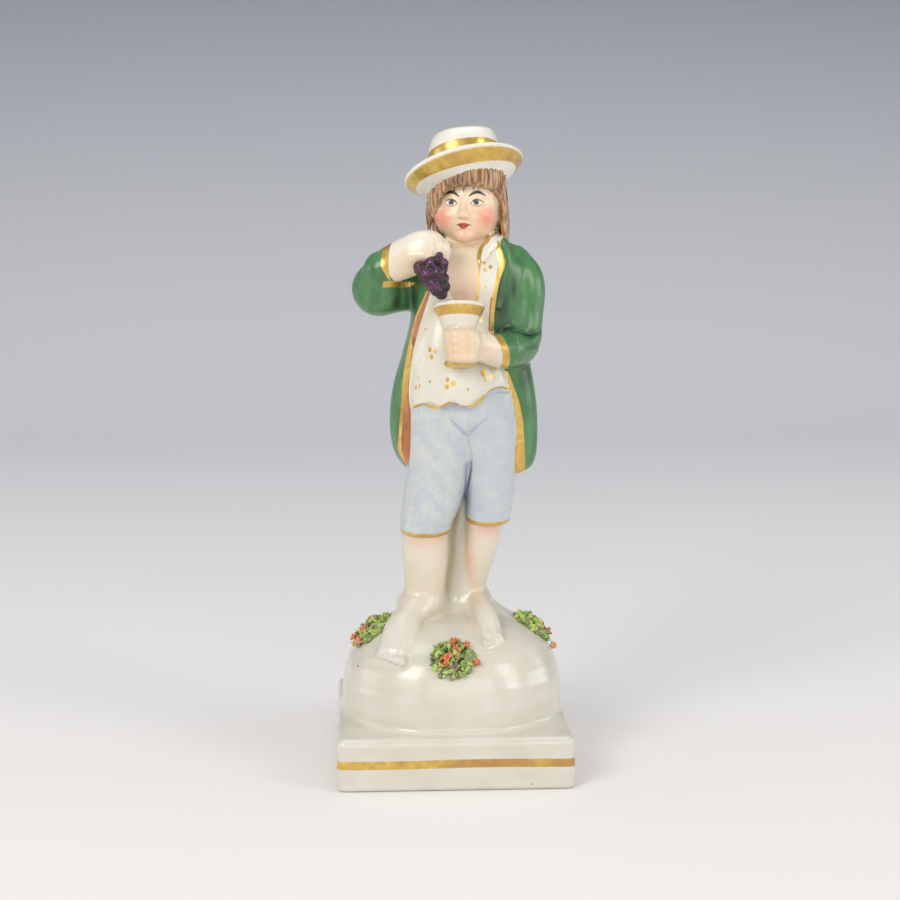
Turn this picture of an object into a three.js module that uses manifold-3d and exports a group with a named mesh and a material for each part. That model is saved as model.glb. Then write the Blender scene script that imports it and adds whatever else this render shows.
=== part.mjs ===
// A glazed earthenware figure of a boy who lifts a bunch of grapes and holds a footed cup.
// The boy, his hat, the cup, the tree stump, the mound and the square plinth are one fired piece.
// The grapes and the three sprays of shredded clay flowers are made apart and stuck on with slip.
// Millimetres, +Z up. The origin is the middle of the plinth's underside. The boy faces -Y, so his
// right side is at -X.
import * as THREE from 'three';
import { mergeVertices } from 'three/addons/utils/BufferGeometryUtils.js';
import Module from 'manifold-3d';

const wasm = await Module();
wasm.setup();

// Driving dimensions
const PLINTH_SIDE = 54;
const PLINTH_HEIGHT = 12.2;
const PLINTH_EDGE = 1;
const MOUND_TOP = 35.3;
const MOUND_RADIUS = [26.1, 24.6];
const MOUND_CENTRE = [0.3, 0.9];
const MOUND_SHOULDER = 2.8;
const MOUND_PLAN = 2.3;
const FIGURE_TOP = 148.6;
const SLIP_GAP = 0.3;

const MOUND_SIDES = 24;
const BODY_SIDES = 20;
const LIMB_SIDES = 10;
const DIGIT_SIDES = 5;

const CUP_RIM_RADIUS = 5.75;
const CUP_HEIGHT = 13.9;
const CUP_WALL = 0.9;
const CUP_DISH = 3.8;
const CUP_FOOT = [1.2, -15.6, 95.1];
const CUP_LEAN = 16;
const CUP_ROLL = 2.5;

const HAT_RIM_RADIUS = 13.7;
const HAT_INNER_RADIUS = 9;
const HAT_DISH = 3.2;
const HAT_FELT = 1.2;
const HAT_CENTRE = [3.1, 0.6, 138.9];
const HAT_ROLL = 12;
const HAT_PITCH = 20;

const GRAPE_RADIUS = 1.2;

// Sections of the upright forms: height, middle x, middle y, half width, half depth
const STUMP = [
  [31, 3.6, 4.2, 13, 10],
  [35.5, 3.6, 4.4, 8.6, 7.4],
  [39, 3.1, 4.8, 5.9, 5.6],
  [46, 2.9, 5, 4.8, 4.9],
  [55, 2.9, 5, 4.4, 4.6],
  [61, 3.3, 4.6, 3.6, 4.2],
  [65, 3.4, 4.2, 2, 2.8],
];
const RIGHT_SHIN = [
  [33, -6.8, -0.4, 5, 5.6],
  [39, -6.4, -0.8, 4.6, 5],
  [44, -6.2, -1, 4.9, 5.2],
  [49, -6.1, -1.1, 5.4, 5.8],
  [58, -6.1, -1.2, 5.5, 6],
];
const LEFT_SHIN = [
  [33, 6.6, 1.6, 2.9, 3.8],
  [39, 6.1, 1.9, 2.2, 3],
  [44, 6.3, 1.6, 2.9, 3.7],
  [49, 7.1, 1.1, 3.7, 4.6],
  [60, 8.6, 0.2, 4.7, 5.6],
];
const RIGHT_THIGH = [
  [55.2, -6.1, -1.2, 5.9, 6.5],
  [58, -5.6, -1.2, 6.3, 6.9],
  [62, -4.4, -1.2, 6.9, 7.2],
  [68, -3.4, -1, 7.3, 7.6],
  [76, -2.9, -0.6, 7.7, 8.1],
  [88, -2.2, -0.2, 8, 8.6],
];
const LEFT_THIGH = [
  [57.4, 8.9, 0, 5.1, 6],
  [65, 9.2, 0, 5.9, 6.8],
  [76, 9, 0, 6.7, 7.6],
  [88, 7, 0, 7.8, 8.4],
];
const WAISTCOAT = [
  [85.7, 1.6, -0.8, 11.9, 9.9],
  [87, 1.7, -0.9, 12, 10.4],
  [91, 1.8, -0.9, 11.8, 10.5],
  [98, 1.2, -0.6, 10.7, 10],
  [105, 1.4, -0.1, 9.2, 9.1],
  [111, 2.7, 0, 8.2, 8.5],
  [117, 3.6, 0.3, 8.6, 7.8],
  [121.5, 3.8, 0.6, 6.5, 6.4],
];
const HAIR = [
  [119.5, 5.4, 4.6, 6.6, 4.2],
  [123, 4.7, 3.6, 8.8, 6],
  [129, 4, 2.1, 9.1, 8],
  [136, 3.6, 0.6, 9.1, 9.2],
  [140.5, 3.3, 0.8, 8.4, 8.6],
];
const HAT_CROWN = [
  [137, 3, 0.3, 8.3, 8.4],
  [142.4, 2.9, 0.9, 8.1, 8.2],
  [145.2, 3, 1.5, 7.6, 7.7],
  [146.9, 3.2, 1.9, 6.6, 6.7],
  [147.4, 3.6, 2.1, 5, 5.2],
  [FIGURE_TOP - 0.8, 3.8, 2.2, 3.2, 3.4],
];
const HAT_CROWN_RISE = { across: 0.06, along: 0.2 };

// Sections of the coat: height, left outside, left front edge, right front edge, right outside,
// front, back (left and right as the viewer sees them)
const COAT = [
  [68.4, -9.3, -8.9, 15.7, 16.9, -2.6, 8.4],
  [70, -11.3, -10.4, 15.5, 18.7, -3.4, 9.6],
  [73, -13.1, -11.9, 15.2, 19.7, -3.9, 10.8],
  [78, -14, -11.9, 15.2, 20.1, -4.2, 11.6],
  [84, -13.8, -11.3, 14.9, 20, -4.6, 11.8],
  [90, -13, -10.9, 13.2, 19.3, -5.2, 11.4],
  [96, -11.4, -10.3, 11, 18.2, -6, 10.6],
  [103, -9.6, -8.7, 9, 16.6, -7, 9.7],
  [107.5, -9.1, -7.4, 9, 16.2, -7.6, 9.4],
  [112, -9.6, -5.2, 10.3, 17, -8, 9.4],
  [117, -9.4, -4.2, 11.9, 16.8, -7.3, 9.2],
  [120.6, -7, -3.2, 11.4, 14.8, -5.6, 8.6],
  [123.4, -3, -1.6, 10.6, 12.2, -3.4, 7.6],
];

const COLOURS = {
  glaze: '#ece5d6',
  grape: '#35142f',
  spray: '#6f8a3c',
};

// Mesh to solid and back
function toSolid(geometry) {
  geometry.deleteAttribute('normal');
  geometry.deleteAttribute('uv');
  const merged = mergeVertices(geometry, 1e-4);
  return new wasm.Manifold(new wasm.Mesh({
    numProp: 3,
    vertProperties: new Float32Array(merged.attributes.position.array),
    triVerts: new Uint32Array(merged.index.array),
  }));
}

function toGeometry(solid) {
  const mesh = solid.getMesh();
  const geometry = new THREE.BufferGeometry();
  geometry.setAttribute('position', new THREE.BufferAttribute(mesh.vertProperties, 3));
  geometry.setIndex(new THREE.BufferAttribute(mesh.triVerts, 1));
  return geometry;
}

const join = (solids) => solids.reduce((whole, next) => whole.add(next));
const vector = (values) => new THREE.Vector3(...values);
const radians = THREE.MathUtils.degToRad;
const mix = THREE.MathUtils.lerp;
const smooth = THREE.MathUtils.smoothstep;

// A closed skin over rings of points. The rings run counter-clockwise about the way they climb.
function skin(rings) {
  const sides = rings[0].length;
  const points = rings.flat();
  const triangles = [];
  for (let ring = 0; ring < rings.length - 1; ring += 1) {
    for (let side = 0; side < sides; side += 1) {
      const here = ring * sides + side;
      const next = ring * sides + (side + 1) % sides;
      triangles.push(here, next, next + sides);
      triangles.push(here, next + sides, here + sides);
    }
  }
  const lastRing = (rings.length - 1) * sides;
  for (let side = 1; side < sides - 1; side += 1) {
    triangles.push(0, side + 1, side);
    triangles.push(lastRing, lastRing + side, lastRing + side + 1);
  }
  const geometry = new THREE.BufferGeometry().setFromPoints(points);
  geometry.setIndex(triangles);
  return toSolid(geometry);
}

// A level superellipse; a power of 2 is a plain ellipse and a higher one is squarer
function oval(z, x, y, halfWidth, halfDepth, sides, power = 2) {
  return Array.from({ length: sides }, (_, side) => {
    const angle = (side / sides) * 2 * Math.PI;
    const across = Math.cos(angle);
    const along = Math.sin(angle);
    return new THREE.Vector3(
      x + halfWidth * Math.sign(across) * Math.abs(across) ** (2 / power),
      y + halfDepth * Math.sign(along) * Math.abs(along) ** (2 / power),
      z,
    );
  });
}

// An upright form through level sections; shape moves single points of it
function upright(sections, { sides = LIMB_SIDES, power = 2.2, shape = null } = {}) {
  const rings = sections.map(([z, x, y, halfWidth, halfDepth]) => (
    oval(z, x, y, halfWidth, halfDepth, sides, power)));
  if (shape) {
    rings.forEach((ring, level) => ring.forEach((point, side) => shape(point, level, side)));
  }
  return skin(rings);
}

// A limb along a smooth path, with a half width and half height at each path point. Its far end is
// round, and its near end too unless it is flat because it is buried in the body.
function limb(path, widths, heights, {
  sides = LIMB_SIDES, steps = 6, up = [0, 0, 1], wave = null, flatStart = false,
} = {}) {
  const curve = new THREE.CatmullRomCurve3(path.map(vector));
  const upward = vector(up);
  const sized = (sizes, t) => {
    const place = t * (sizes.length - 1);
    const index = Math.min(Math.floor(place), sizes.length - 2);
    return mix(sizes[index], sizes[index + 1], place - index);
  };
  const ringAt = (t, shift, scale) => {
    const centre = curve.getPoint(t);
    const ahead = curve.getTangent(t);
    const aside = new THREE.Vector3().crossVectors(ahead, upward).normalize();
    const above = new THREE.Vector3().crossVectors(aside, ahead).normalize();
    const swell = scale * (wave ? wave(t) : 1);
    const end = Math.min(sized(widths, t), sized(heights, t));
    return Array.from({ length: sides }, (_, side) => {
      const angle = (side / sides) * 2 * Math.PI;
      return centre.clone()
        .addScaledVector(ahead, shift * end)
        .addScaledVector(aside, Math.cos(angle) * sized(widths, t) * swell)
        .addScaledVector(above, -Math.sin(angle) * sized(heights, t) * swell);
    });
  };
  const capAngles = [radians(70), radians(35)];
  const start = capAngles.map((angle) => ringAt(0, -Math.sin(angle), Math.cos(angle)));
  const middle = Array.from({ length: steps + 1 }, (_, step) => ringAt(step / steps, 0, 1));
  const finish = capAngles.toReversed().map((angle) => ringAt(1, Math.sin(angle), Math.cos(angle)));
  return skin(flatStart ? [...middle, ...finish] : [...start, ...middle, ...finish]);
}

function ball(centre, radii, columns = 12, rows = 8) {
  const geometry = new THREE.SphereGeometry(1, columns, rows);
  geometry.rotateX(Math.PI / 2);
  geometry.scale(...radii);
  geometry.translate(...centre);
  return toSolid(geometry);
}

// A profile of [radius, height] pairs turned about +Z, then leaned and moved into place
function turned(profile, sides, { pitch = 0, roll = 0, at = [0, 0, 0] }) {
  const geometry = new THREE.LatheGeometry(profile.map(([r, z]) => new THREE.Vector2(r, z)), sides);
  geometry.rotateX(Math.PI / 2);
  const lean = new THREE.Matrix4().makeRotationFromEuler(new THREE.Euler(radians(pitch), radians(roll), 0));
  geometry.applyMatrix4(lean);
  geometry.translate(...at);
  return toSolid(geometry);
}

// Base
function plinth() {
  const half = PLINTH_SIDE / 2;
  const layers = [
    [0, PLINTH_EDGE / 2],
    [PLINTH_EDGE / 2, 0],
    [PLINTH_HEIGHT - PLINTH_EDGE, 0],
    [PLINTH_HEIGHT - PLINTH_EDGE * 0.3, PLINTH_EDGE * 0.3],
    [PLINTH_HEIGHT, PLINTH_EDGE],
  ];
  const cornerSteps = 4;
  const corners = [[1, 1], [-1, 1], [-1, -1], [1, -1]];
  const rings = layers.map(([z, inset]) => corners.flatMap(([signX, signY], corner) => (
    Array.from({ length: cornerSteps }, (_, step) => {
      const angle = radians(90) * (corner + step / (cornerSteps - 1));
      const middle = half - inset - PLINTH_EDGE;
      return new THREE.Vector3(
        signX * middle + PLINTH_EDGE * Math.cos(angle),
        signY * middle + PLINTH_EDGE * Math.sin(angle),
        z,
      );
    }))));
  return skin(rings);
}

// Height of the mound's surface at a share of its radius
const moundHeight = (share) => (
  PLINTH_HEIGHT + (MOUND_TOP - PLINTH_HEIGHT) * (1 - share ** MOUND_SHOULDER) ** (1 / MOUND_SHOULDER));

function mound(grow = 0) {
  const shares = [1, 0.985, 0.94, 0.84, 0.68, 0.45];
  const rings = shares.map((share) => oval(
    moundHeight(share) + grow,
    ...MOUND_CENTRE,
    MOUND_RADIUS[0] * share + grow,
    MOUND_RADIUS[1] * share + grow,
    MOUND_SIDES,
    MOUND_PLAN,
  ));
  const radii = MOUND_RADIUS.map((radius) => radius + grow);
  const buried = oval(PLINTH_HEIGHT / 2, ...MOUND_CENTRE, ...radii, MOUND_SIDES, MOUND_PLAN);
  return skin([buried, ...rings]);
}

function moundSurface(x, y) {
  const across = Math.abs(x - MOUND_CENTRE[0]) / MOUND_RADIUS[0];
  const along = Math.abs(y - MOUND_CENTRE[1]) / MOUND_RADIUS[1];
  const share = (across ** MOUND_PLAN + along ** MOUND_PLAN) ** (1 / MOUND_PLAN);
  return moundHeight(Math.min(share, 1));
}

// A point above the mound, measured square to its surface
function aboveMound(x, y, lift) {
  const step = 0.1;
  const slopeX = (moundSurface(x + step, y) - moundSurface(x - step, y)) / (2 * step);
  const slopeY = (moundSurface(x, y + step) - moundSurface(x, y - step)) / (2 * step);
  const normal = new THREE.Vector3(-slopeX, -slopeY, 1).normalize();
  return new THREE.Vector3(x, y, moundSurface(x, y)).addScaledVector(normal, lift).toArray();
}

function stump() {
  const barkRidges = 5;
  const sides = barkRidges * 3;
  const trunk = upright(STUMP, {
    sides,
    shape: (point, level, side) => {
      const ridge = 1 + 0.05 * Math.cos((side / sides) * 2 * Math.PI * barkRidges + level * 0.4);
      const [, x, y] = STUMP[level];
      point.x = x + (point.x - x) * ridge;
      point.y = y + (point.y - y) * ridge;
    },
  });
  const branch = limb([[4, 7, 48], [5.4, 11.4, 51.5]], [2.2, 1.7], [2.2, 1.7], {
    steps: 1,
    sides: DIGIT_SIDES,
    flatStart: true,
  });
  return trunk.add(branch);
}

// Bare legs and feet
function foot(heel, toe, halfWidth, inward) {
  const along = new THREE.Vector2(toe[0] - heel[0], toe[1] - heel[1]).normalize();
  const across = new THREE.Vector2(-along.y, along.x).multiplyScalar(inward);
  const path = [0, 0.34, 0.68, 1].map((t) => {
    const x = mix(heel[0], toe[0], t);
    const y = mix(heel[1], toe[1], t);
    return [x, y, moundSurface(x, y) + mix(2, 0.5, t)];
  });
  const widths = [3.2, 3.5, 4, 3.9].map((width) => width * halfWidth);
  const sole = limb(path, widths, [3.6, 3.2, 2.4, 1.6], { steps: 3, sides: 8 });
  const toes = Array.from({ length: 5 }, (_, index) => {
    const side = mix(0.86, -0.9, index / 4) * 3.8 * halfWidth;
    const radius = mix(1.3, 0.85, index / 4);
    const reach = mix(1.4, 0.2, index / 4);
    const x = toe[0] + across.x * side + along.x * reach;
    const y = toe[1] + across.y * side + along.y * reach;
    return ball([x, y, moundSurface(x, y) + radius * 0.6], [radius, radius * 1.5, radius], 6, 4);
  });
  return join([sole, ...toes]);
}

const legs = () => join([
  upright(RIGHT_SHIN),
  upright(LEFT_SHIN),
  foot([-7, -0.6], [-14.2, -15.2], 1.12, 1).add(ball([-7.2, -1.8, 37], [5, 6, 4], 10, 6)),
  foot([6.5, 1.4], [9.5, -15.6], 0.86, -1),
]);

// Clothes
function breeches() {
  const hips = upright([
    [72, 3.2, -0.4, 5, 5.6],
    [77, 2.6, -0.2, 10.8, 7.6],
    [82, 2.3, 0, 12.2, 9],
    [90, 2.2, 0, 12.2, 9.2],
  ], { sides: BODY_SIDES });
  const thigh = (sections) => upright(sections, { sides: 12, power: 2.5 });
  return join([thigh(RIGHT_THIGH), thigh(LEFT_THIGH), hips]);
}

function waistcoat() {
  const hemRise = 3.4;
  const scallops = 7;
  return upright(WAISTCOAT, {
    sides: BODY_SIDES,
    power: 2.3,
    shape: (point, level) => {
      const hem = hemRise * smooth(point.x, 4, 9) + 0.45 * Math.cos(point.x * scallops / 6);
      point.z += hem * [1, 1, 0.4, 0, 0, 0, 0, 0][level];
    },
  });
}

// One level section of the coat: two rounded sides, a rounded back and a flat front between the edges
function coatSection([z, outLeft, edgeLeft, edgeRight, outRight, front, back]) {
  const middle = (outLeft + outRight) / 2;
  const waist = mix(front, back, 0.42);
  const quarterSteps = 4;
  const quarters = [
    [[edgeRight, front], [outRight, waist], false],
    [[outRight, waist], [middle, back], true],
    [[middle, back], [outLeft, waist], false],
    [[outLeft, waist], [edgeLeft, front], true],
  ];
  return quarters.flatMap(([from, to, startsUpright]) => Array.from({ length: quarterSteps }, (_, step) => {
    const angle = radians(90) * (step / quarterSteps);
    const turn = [Math.sin(angle), 1 - Math.cos(angle)];
    const [shareX, shareY] = startsUpright ? turn.toReversed() : turn;
    return new THREE.Vector3(mix(from[0], to[0], shareX), mix(from[1], to[1], shareY), z);
  })).concat([new THREE.Vector3(edgeLeft, front, z)]);
}

function coat() {
  const rings = COAT.map(coatSection);
  const folds = 8;
  rings.forEach((ring, level) => {
    const loose = 0.045 * smooth(-COAT[level][0], -96, -72);
    const [, outLeft, , , outRight] = COAT[level];
    const middle = (outLeft + outRight) / 2;
    ring.slice(2, -3).forEach((point) => {
      const angle = Math.atan2(point.y, point.x - middle);
      const swell = 1 + loose * Math.cos(angle * folds);
      point.x = middle + (point.x - middle) * swell;
      point.y *= swell;
    });
  });
  return skin(rings);
}

function backVent() {
  const slit = new THREE.BoxGeometry(0.9, 3, 18);
  slit.translate(3, 12, 74);
  return toSolid(slit);
}

function lapels() {
  const collar = limb(
    [[11.4, -7.4, 112.5], [12.2, -6.4, 117.4], [11.2, -3.8, 121.6], [10.6, 2, 123.6]],
    [1.3, 1.7, 1.6, 1.6],
    [0.9, 1, 1.1, 1.4],
    { up: [0, -1, 0.4], steps: 4, sides: DIGIT_SIDES },
  );
  const waistcoatCollar = limb(
    [[7.6, -9, 104.5], [7.6, -8.9, 111], [8.2, -7.9, 117.5], [9, -5.6, 122.4]],
    [1.5, 1.8, 1.8, 1],
    [0.7, 0.8, 0.8, 0.8],
    { up: [0, -1, 0.3], steps: 4, sides: DIGIT_SIDES },
  );
  return collar.add(waistcoatCollar);
}

const sleeveWrinkles = (count, depth) => (t) => 1 + depth * Math.sin(t * count * 2 * Math.PI);

const leftSleeve = () => limb(
  [[12.4, 1.4, 118.4], [15.8, 1, 113], [15.9, 0, 105], [15.5, -2.6, 99.4], [12.6, -8.2, 98.2]],
  [4.4, 5.9, 5.5, 5.1, 4.4],
  [4.6, 6, 5.6, 5, 4.4],
  { up: [0.3, -1, 0.2], steps: 12, wave: sleeveWrinkles(3.5, 0.025), flatStart: true },
);

const rightSleeve = () => join([
  limb(
    [[-4.6, 1.4, 113.6], [-10.5, 0.6, 112.2], [-16.4, -1, 111.6]],
    [5, 5.2, 6],
    [6.2, 5.8, 6],
    { steps: 4, wave: sleeveWrinkles(1.5, 0.02), flatStart: true },
  ),
  limb([[-16.6, -1.4, 111.8], [-15.6, -6, 116.2]], [5.9, 4.6], [6, 4.5], { up: [0, 1, 0], steps: 1 }),
]);

// Hands
function rightHand(grow = 0) {
  const grown = (sizes) => sizes.map((size) => size + grow);
  const palm = limb(
    [[-14.6, -6.8, 116.9], [-10.4, -9, 118.6], [-6, -10.4, 120.4], [-2.6, -10.6, 120]],
    grown([3.6, 3.4, 3.4, 2.4]),
    grown([4.2, 4.6, 4.6, 3.4]),
    { steps: 5, flatStart: true },
  );
  const thumb = limb(
    [[-9.4, -12, 119.4], [-6.2, -13.4, 119.8], [-3.8, -13.2, 119]],
    grown([1.4, 1.3, 1]),
    grown([1.4, 1.3, 1]),
    { sides: DIGIT_SIDES, steps: 2 },
  );
  return palm.add(thumb);
}

function leftHand() {
  const wrist = limb(
    [[13, -9.4, 98], [9, -12.6, 98.6], [6, -14.4, 99.6]],
    [3.2, 3, 2.6],
    [4.2, 3.7, 3.3],
    { steps: 2, flatStart: true },
  );
  const fingers = [0, 1, 2, 3].map((finger) => {
    const z = 102.6 - finger * 1.75;
    const reach = 3.1 - finger * 0.2;
    return limb(
      [[5.6, -15.6, z], [3.4, -18.6 - finger * 0.3, z], [0.2, -18.8 - finger * 0.3, z + 0.2],
        [1.2 - reach, -16.6 - finger * 0.3, z + 0.3]],
      [1.1, 1.1, 1.1, 0.95],
      [1, 1.05, 1.05, 0.9],
      { sides: DIGIT_SIDES, steps: 3, flatStart: true },
    );
  });
  const thumb = limb([[7, -12.6, 101.8], [4.8, -12.6, 103.6], [2, -11.6, 104]], [1.3, 1.2, 1], [1.3, 1.2, 1], {
    sides: DIGIT_SIDES,
    steps: 2,
    flatStart: true,
  });
  return join([wrist, thumb, ...fingers]);
}

function cup() {
  const inner = CUP_RIM_RADIUS - CUP_WALL;
  const profile = [
    [0, 0], [3.2, 0], [3.5, 0.6], [3.2, 1.2], [2.6, 1.7], [2.75, 3.2], [3.4, 7], [4.4, 10.6],
    [5.4, 13], [CUP_RIM_RADIUS, CUP_HEIGHT], [inner, CUP_HEIGHT],
    [inner * 0.82, CUP_HEIGHT - CUP_DISH * 0.7], [inner * 0.5, CUP_HEIGHT - CUP_DISH],
    [0, CUP_HEIGHT - CUP_DISH],
  ];
  return turned(profile, 14, { pitch: -CUP_LEAN, roll: CUP_ROLL, at: CUP_FOOT });
}

// Head
function head() {
  const skull = ball([3.9, 0.4, 132], [7.2, 7.8, 9], 14, 9);
  const jaw = ball([3.2, -2.4, 126.8], [5.6, 5.6, 4.7], 12, 6);
  const neck = upright([[114, 3.6, 1.4, 4.6, 4.6], [125, 3.5, 0.6, 4.2, 4.4]]);
  const nose = ball([3.6, -8.1, 129.2], [0.95, 1.5, 1.7], 8, 5);
  const lips = ball([3.4, -7.7, 126.4], [1.6, 0.7, 0.6], 8, 4);
  const chin = ball([3.1, -6.9, 123.9], [1.7, 1.4, 1.3], 8, 4);
  const eyes = [-1, 1].map((side) => ball([3.9 + side * 2.8, -6.3, 131.2], [1.5, 1, 0.9], 8, 4));
  return join([skull, jaw, neck, nose, lips, chin, ...eyes]);
}

function faceOpening() {
  const outline = new THREE.Shape();
  outline.moveTo(-2.6, 112);
  outline.lineTo(9.6, 112);
  outline.lineTo(10.6, 128);
  outline.quadraticCurveTo(10.6, 134.2, 4.2, 134.6);
  outline.quadraticCurveTo(-2.6, 134.2, -2.9, 128);
  outline.closePath();
  const depth = 20;
  const geometry = new THREE.ExtrudeGeometry(outline, { depth, bevelEnabled: false, curveSegments: 6 });
  geometry.rotateX(Math.PI / 2);
  geometry.translate(0, -2.4, 0);
  return toSolid(geometry);
}

function hair() {
  const locks = 10;
  const sides = locks * 4;
  const mass = upright(HAIR, {
    sides,
    shape: (point, level, side) => {
      const [, x, y] = HAIR[level];
      const strand = 1 + 0.035 * Math.cos((side / sides) * 2 * Math.PI * locks + level * 0.5);
      point.x = x + (point.x - x) * strand;
      point.y = y + (point.y - y) * strand;
      point.z += level === 0 ? 0.8 * Math.cos((side / sides) * 2 * Math.PI * locks) : 0;
      point.z = Math.min(point.z, brimFloor(point) - (HAIR.length - 1 - level) * 0.4);
    },
  });
  return mass.subtract(faceOpening());
}

// Height of the dished brim's floor, where it meets the crown and the hair
const brimFloor = ({ x, y }) => (
  HAT_CENTRE[2] - HAT_DISH
  + (x - HAT_CENTRE[0]) * Math.tan(radians(HAT_ROLL))
  - (y - HAT_CENTRE[1]) * Math.tan(radians(HAT_PITCH)));

function hat() {
  const brim = turned([
    [0, -HAT_DISH - HAT_FELT], [HAT_INNER_RADIUS, -HAT_DISH - HAT_FELT], [HAT_RIM_RADIUS, -HAT_FELT],
    [HAT_RIM_RADIUS + 0.3, -HAT_FELT / 2], [HAT_RIM_RADIUS - 0.3, 0], [HAT_INNER_RADIUS, -HAT_DISH],
    [0, -HAT_DISH],
  ], 22, { pitch: -HAT_PITCH, roll: -HAT_ROLL, at: HAT_CENTRE });
  const crown = upright(HAT_CROWN, {
    sides: 16,
    shape: (point, level) => {
      const [, x, y] = HAT_CROWN[level];
      const rise = (point.x - x) * HAT_CROWN_RISE.across - (point.y - y) * HAT_CROWN_RISE.along;
      point.z = level === 0 ? brimFloor(point) - HAT_FELT / 2 : point.z + rise;
    },
  });
  return brim.add(crown);
}

// Applied pieces
function grapeBunch() {
  const top = [-4.9, -15.2, 118.4];
  const bottom = [-3, -15.9, 111.9];
  const grapesInRow = [2, 3, 3, 2, 2];
  const grapes = grapesInRow.flatMap((count, row) => {
    const middle = vector(top).lerp(vector(bottom), row / (grapesInRow.length - 1));
    const spread = 0.62 * count;
    return Array.from({ length: count }, (_, index) => {
      const angle = (index / count) * 2 * Math.PI + row * 0.8;
      const centre = [middle.x + spread * Math.cos(angle), middle.y + spread * 0.7 * Math.sin(angle), middle.z];
      return ball(centre, [GRAPE_RADIUS, GRAPE_RADIUS, GRAPE_RADIUS], 6, 4);
    });
  });
  const stem = limb([top, bottom], [1.4, 0.7], [1.4, 0.7], { up: [0, 1, 0], steps: 1, sides: 5 });
  return join([stem, ...grapes]).subtract(rightHand(SLIP_GAP));
}

// Leaves and florets of shredded clay, in a golden-angle spiral over a bed laid on the mound
function flowerSpray(x, y, length, width, turn, count) {
  const goldenAngle = radians(137.5);
  const onMound = (along, aside, lift) => {
    const px = x + along * Math.cos(turn) - aside * Math.sin(turn);
    const py = y + along * Math.sin(turn) + aside * Math.cos(turn);
    return aboveMound(px, py, lift);
  };
  const bedHeights = [1.1, 1.6, 1.1];
  const bedReach = length / 2 - bedHeights[0];
  const bed = limb(
    [-1, 0, 1].map((end) => onMound(end * bedReach, 0, 0.6)),
    [0.3, 0.5, 0.3].map((share) => width * share),
    bedHeights,
    { sides: 7, steps: 2 },
  );
  const blooms = Array.from({ length: count }, (_, index) => {
    const reach = Math.sqrt((index + 0.3) / count);
    const angle = index * goldenAngle;
    const along = reach * length * 0.42 * Math.cos(angle);
    const aside = reach * width * 0.42 * Math.sin(angle);
    const size = 1.4 + 0.3 * Math.sin(index * 2.4);
    const geometry = new THREE.OctahedronGeometry(size);
    geometry.rotateZ(index);
    geometry.rotateX(index * 1.7);
    geometry.translate(...onMound(along, aside, 1 + 0.6 * (1 - reach)));
    return toSolid(geometry);
  });
  return join([bed, ...blooms]).subtract(mound(SLIP_GAP));
}

const figureAndPlinth = () => join([
  plinth(),
  mound(),
  stump(),
  legs(),
  breeches(),
  waistcoat(),
  coat().subtract(backVent()),
  lapels(),
  leftSleeve(),
  rightSleeve(),
  rightHand(),
  leftHand(),
  head(),
  hair(),
  hat(),
  cup(),
]);

function piece(name, solid, colour, roughness) {
  const material = new THREE.MeshStandardMaterial({ color: colour, roughness, metalness: 0 });
  const mesh = new THREE.Mesh(toGeometry(solid), material);
  mesh.name = name;
  return mesh;
}

const figure = new THREE.Group();
figure.add(
  piece('figure_and_plinth', figureAndPlinth(), COLOURS.glaze, 0.2),
  piece('grape_bunch', grapeBunch(), COLOURS.grape, 0.15),
  piece('flower_spray_left', flowerSpray(-19.2, -2, 12, 4.4, radians(62), 6), COLOURS.spray, 0.5),
  piece('flower_spray_front', flowerSpray(-0.3, -19.4, 7.6, 10.5, radians(90), 8), COLOURS.spray, 0.5),
  piece('flower_spray_right', flowerSpray(20.8, 1, 10, 4.4, radians(-58), 6), COLOURS.spray, 0.5),
);

export default figure;
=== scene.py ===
import math

import bmesh
import bpy
import numpy as np
import openvdb
from mathutils import Euler, Matrix, Vector
from mathutils.bvhtree import BVHTree


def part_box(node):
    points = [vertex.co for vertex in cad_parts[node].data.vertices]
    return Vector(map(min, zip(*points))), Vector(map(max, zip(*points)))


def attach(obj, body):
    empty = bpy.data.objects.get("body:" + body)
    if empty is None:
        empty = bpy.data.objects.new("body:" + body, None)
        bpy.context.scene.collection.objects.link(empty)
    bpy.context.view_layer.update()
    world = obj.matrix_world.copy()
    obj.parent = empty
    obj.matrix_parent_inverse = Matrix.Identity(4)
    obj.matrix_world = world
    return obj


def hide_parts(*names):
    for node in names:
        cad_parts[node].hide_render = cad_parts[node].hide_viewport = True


# A glazed earthenware boy with grapes and a cup. Every lump of clay is a closed mesh that becomes a
# block of signed distances on one grid, in millimetres. The lumps are pressed together with soft
# joins, folds are drawn in as grooves, and the zero level is the glazed surface. The enamel colours
# and gilt are painted on that surface as signed distances too, positive inside a painted area.

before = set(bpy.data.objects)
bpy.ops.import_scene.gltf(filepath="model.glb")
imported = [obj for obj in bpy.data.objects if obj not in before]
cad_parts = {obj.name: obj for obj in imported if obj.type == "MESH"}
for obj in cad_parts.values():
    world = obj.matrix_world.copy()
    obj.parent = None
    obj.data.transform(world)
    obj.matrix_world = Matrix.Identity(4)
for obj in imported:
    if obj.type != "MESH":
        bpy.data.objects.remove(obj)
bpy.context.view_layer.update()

# Driving dimensions, in millimetres and degrees; the large ones are the solids' own. The mound's
# shoulder and plan are powers that square it off, and its swells have a height and a lift each
PLINTH_SIDE = 54
PLINTH_HEIGHT = 12.2
MOUND_TOP = 35.3
MOUND_RADIUS = (26.1, 24.6)
MOUND_CENTRE = (0.3, 0.9)
MOUND_SHOULDER = 2.8
MOUND_PLAN = 2.3
SWELLS = ((16.5, 0.16), (20.5, 0.2), (25, 0.2), (29.5, 0.14))
FIGURE_TOP = 148.6
CUP_RIM_RADIUS = 6.15
CUP_HEIGHT = 14.2
CUP_FOOT = (1.2, -15.6, 95.1)
CUP_LEAN = 16
CUP_ROLL = 0.5
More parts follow.
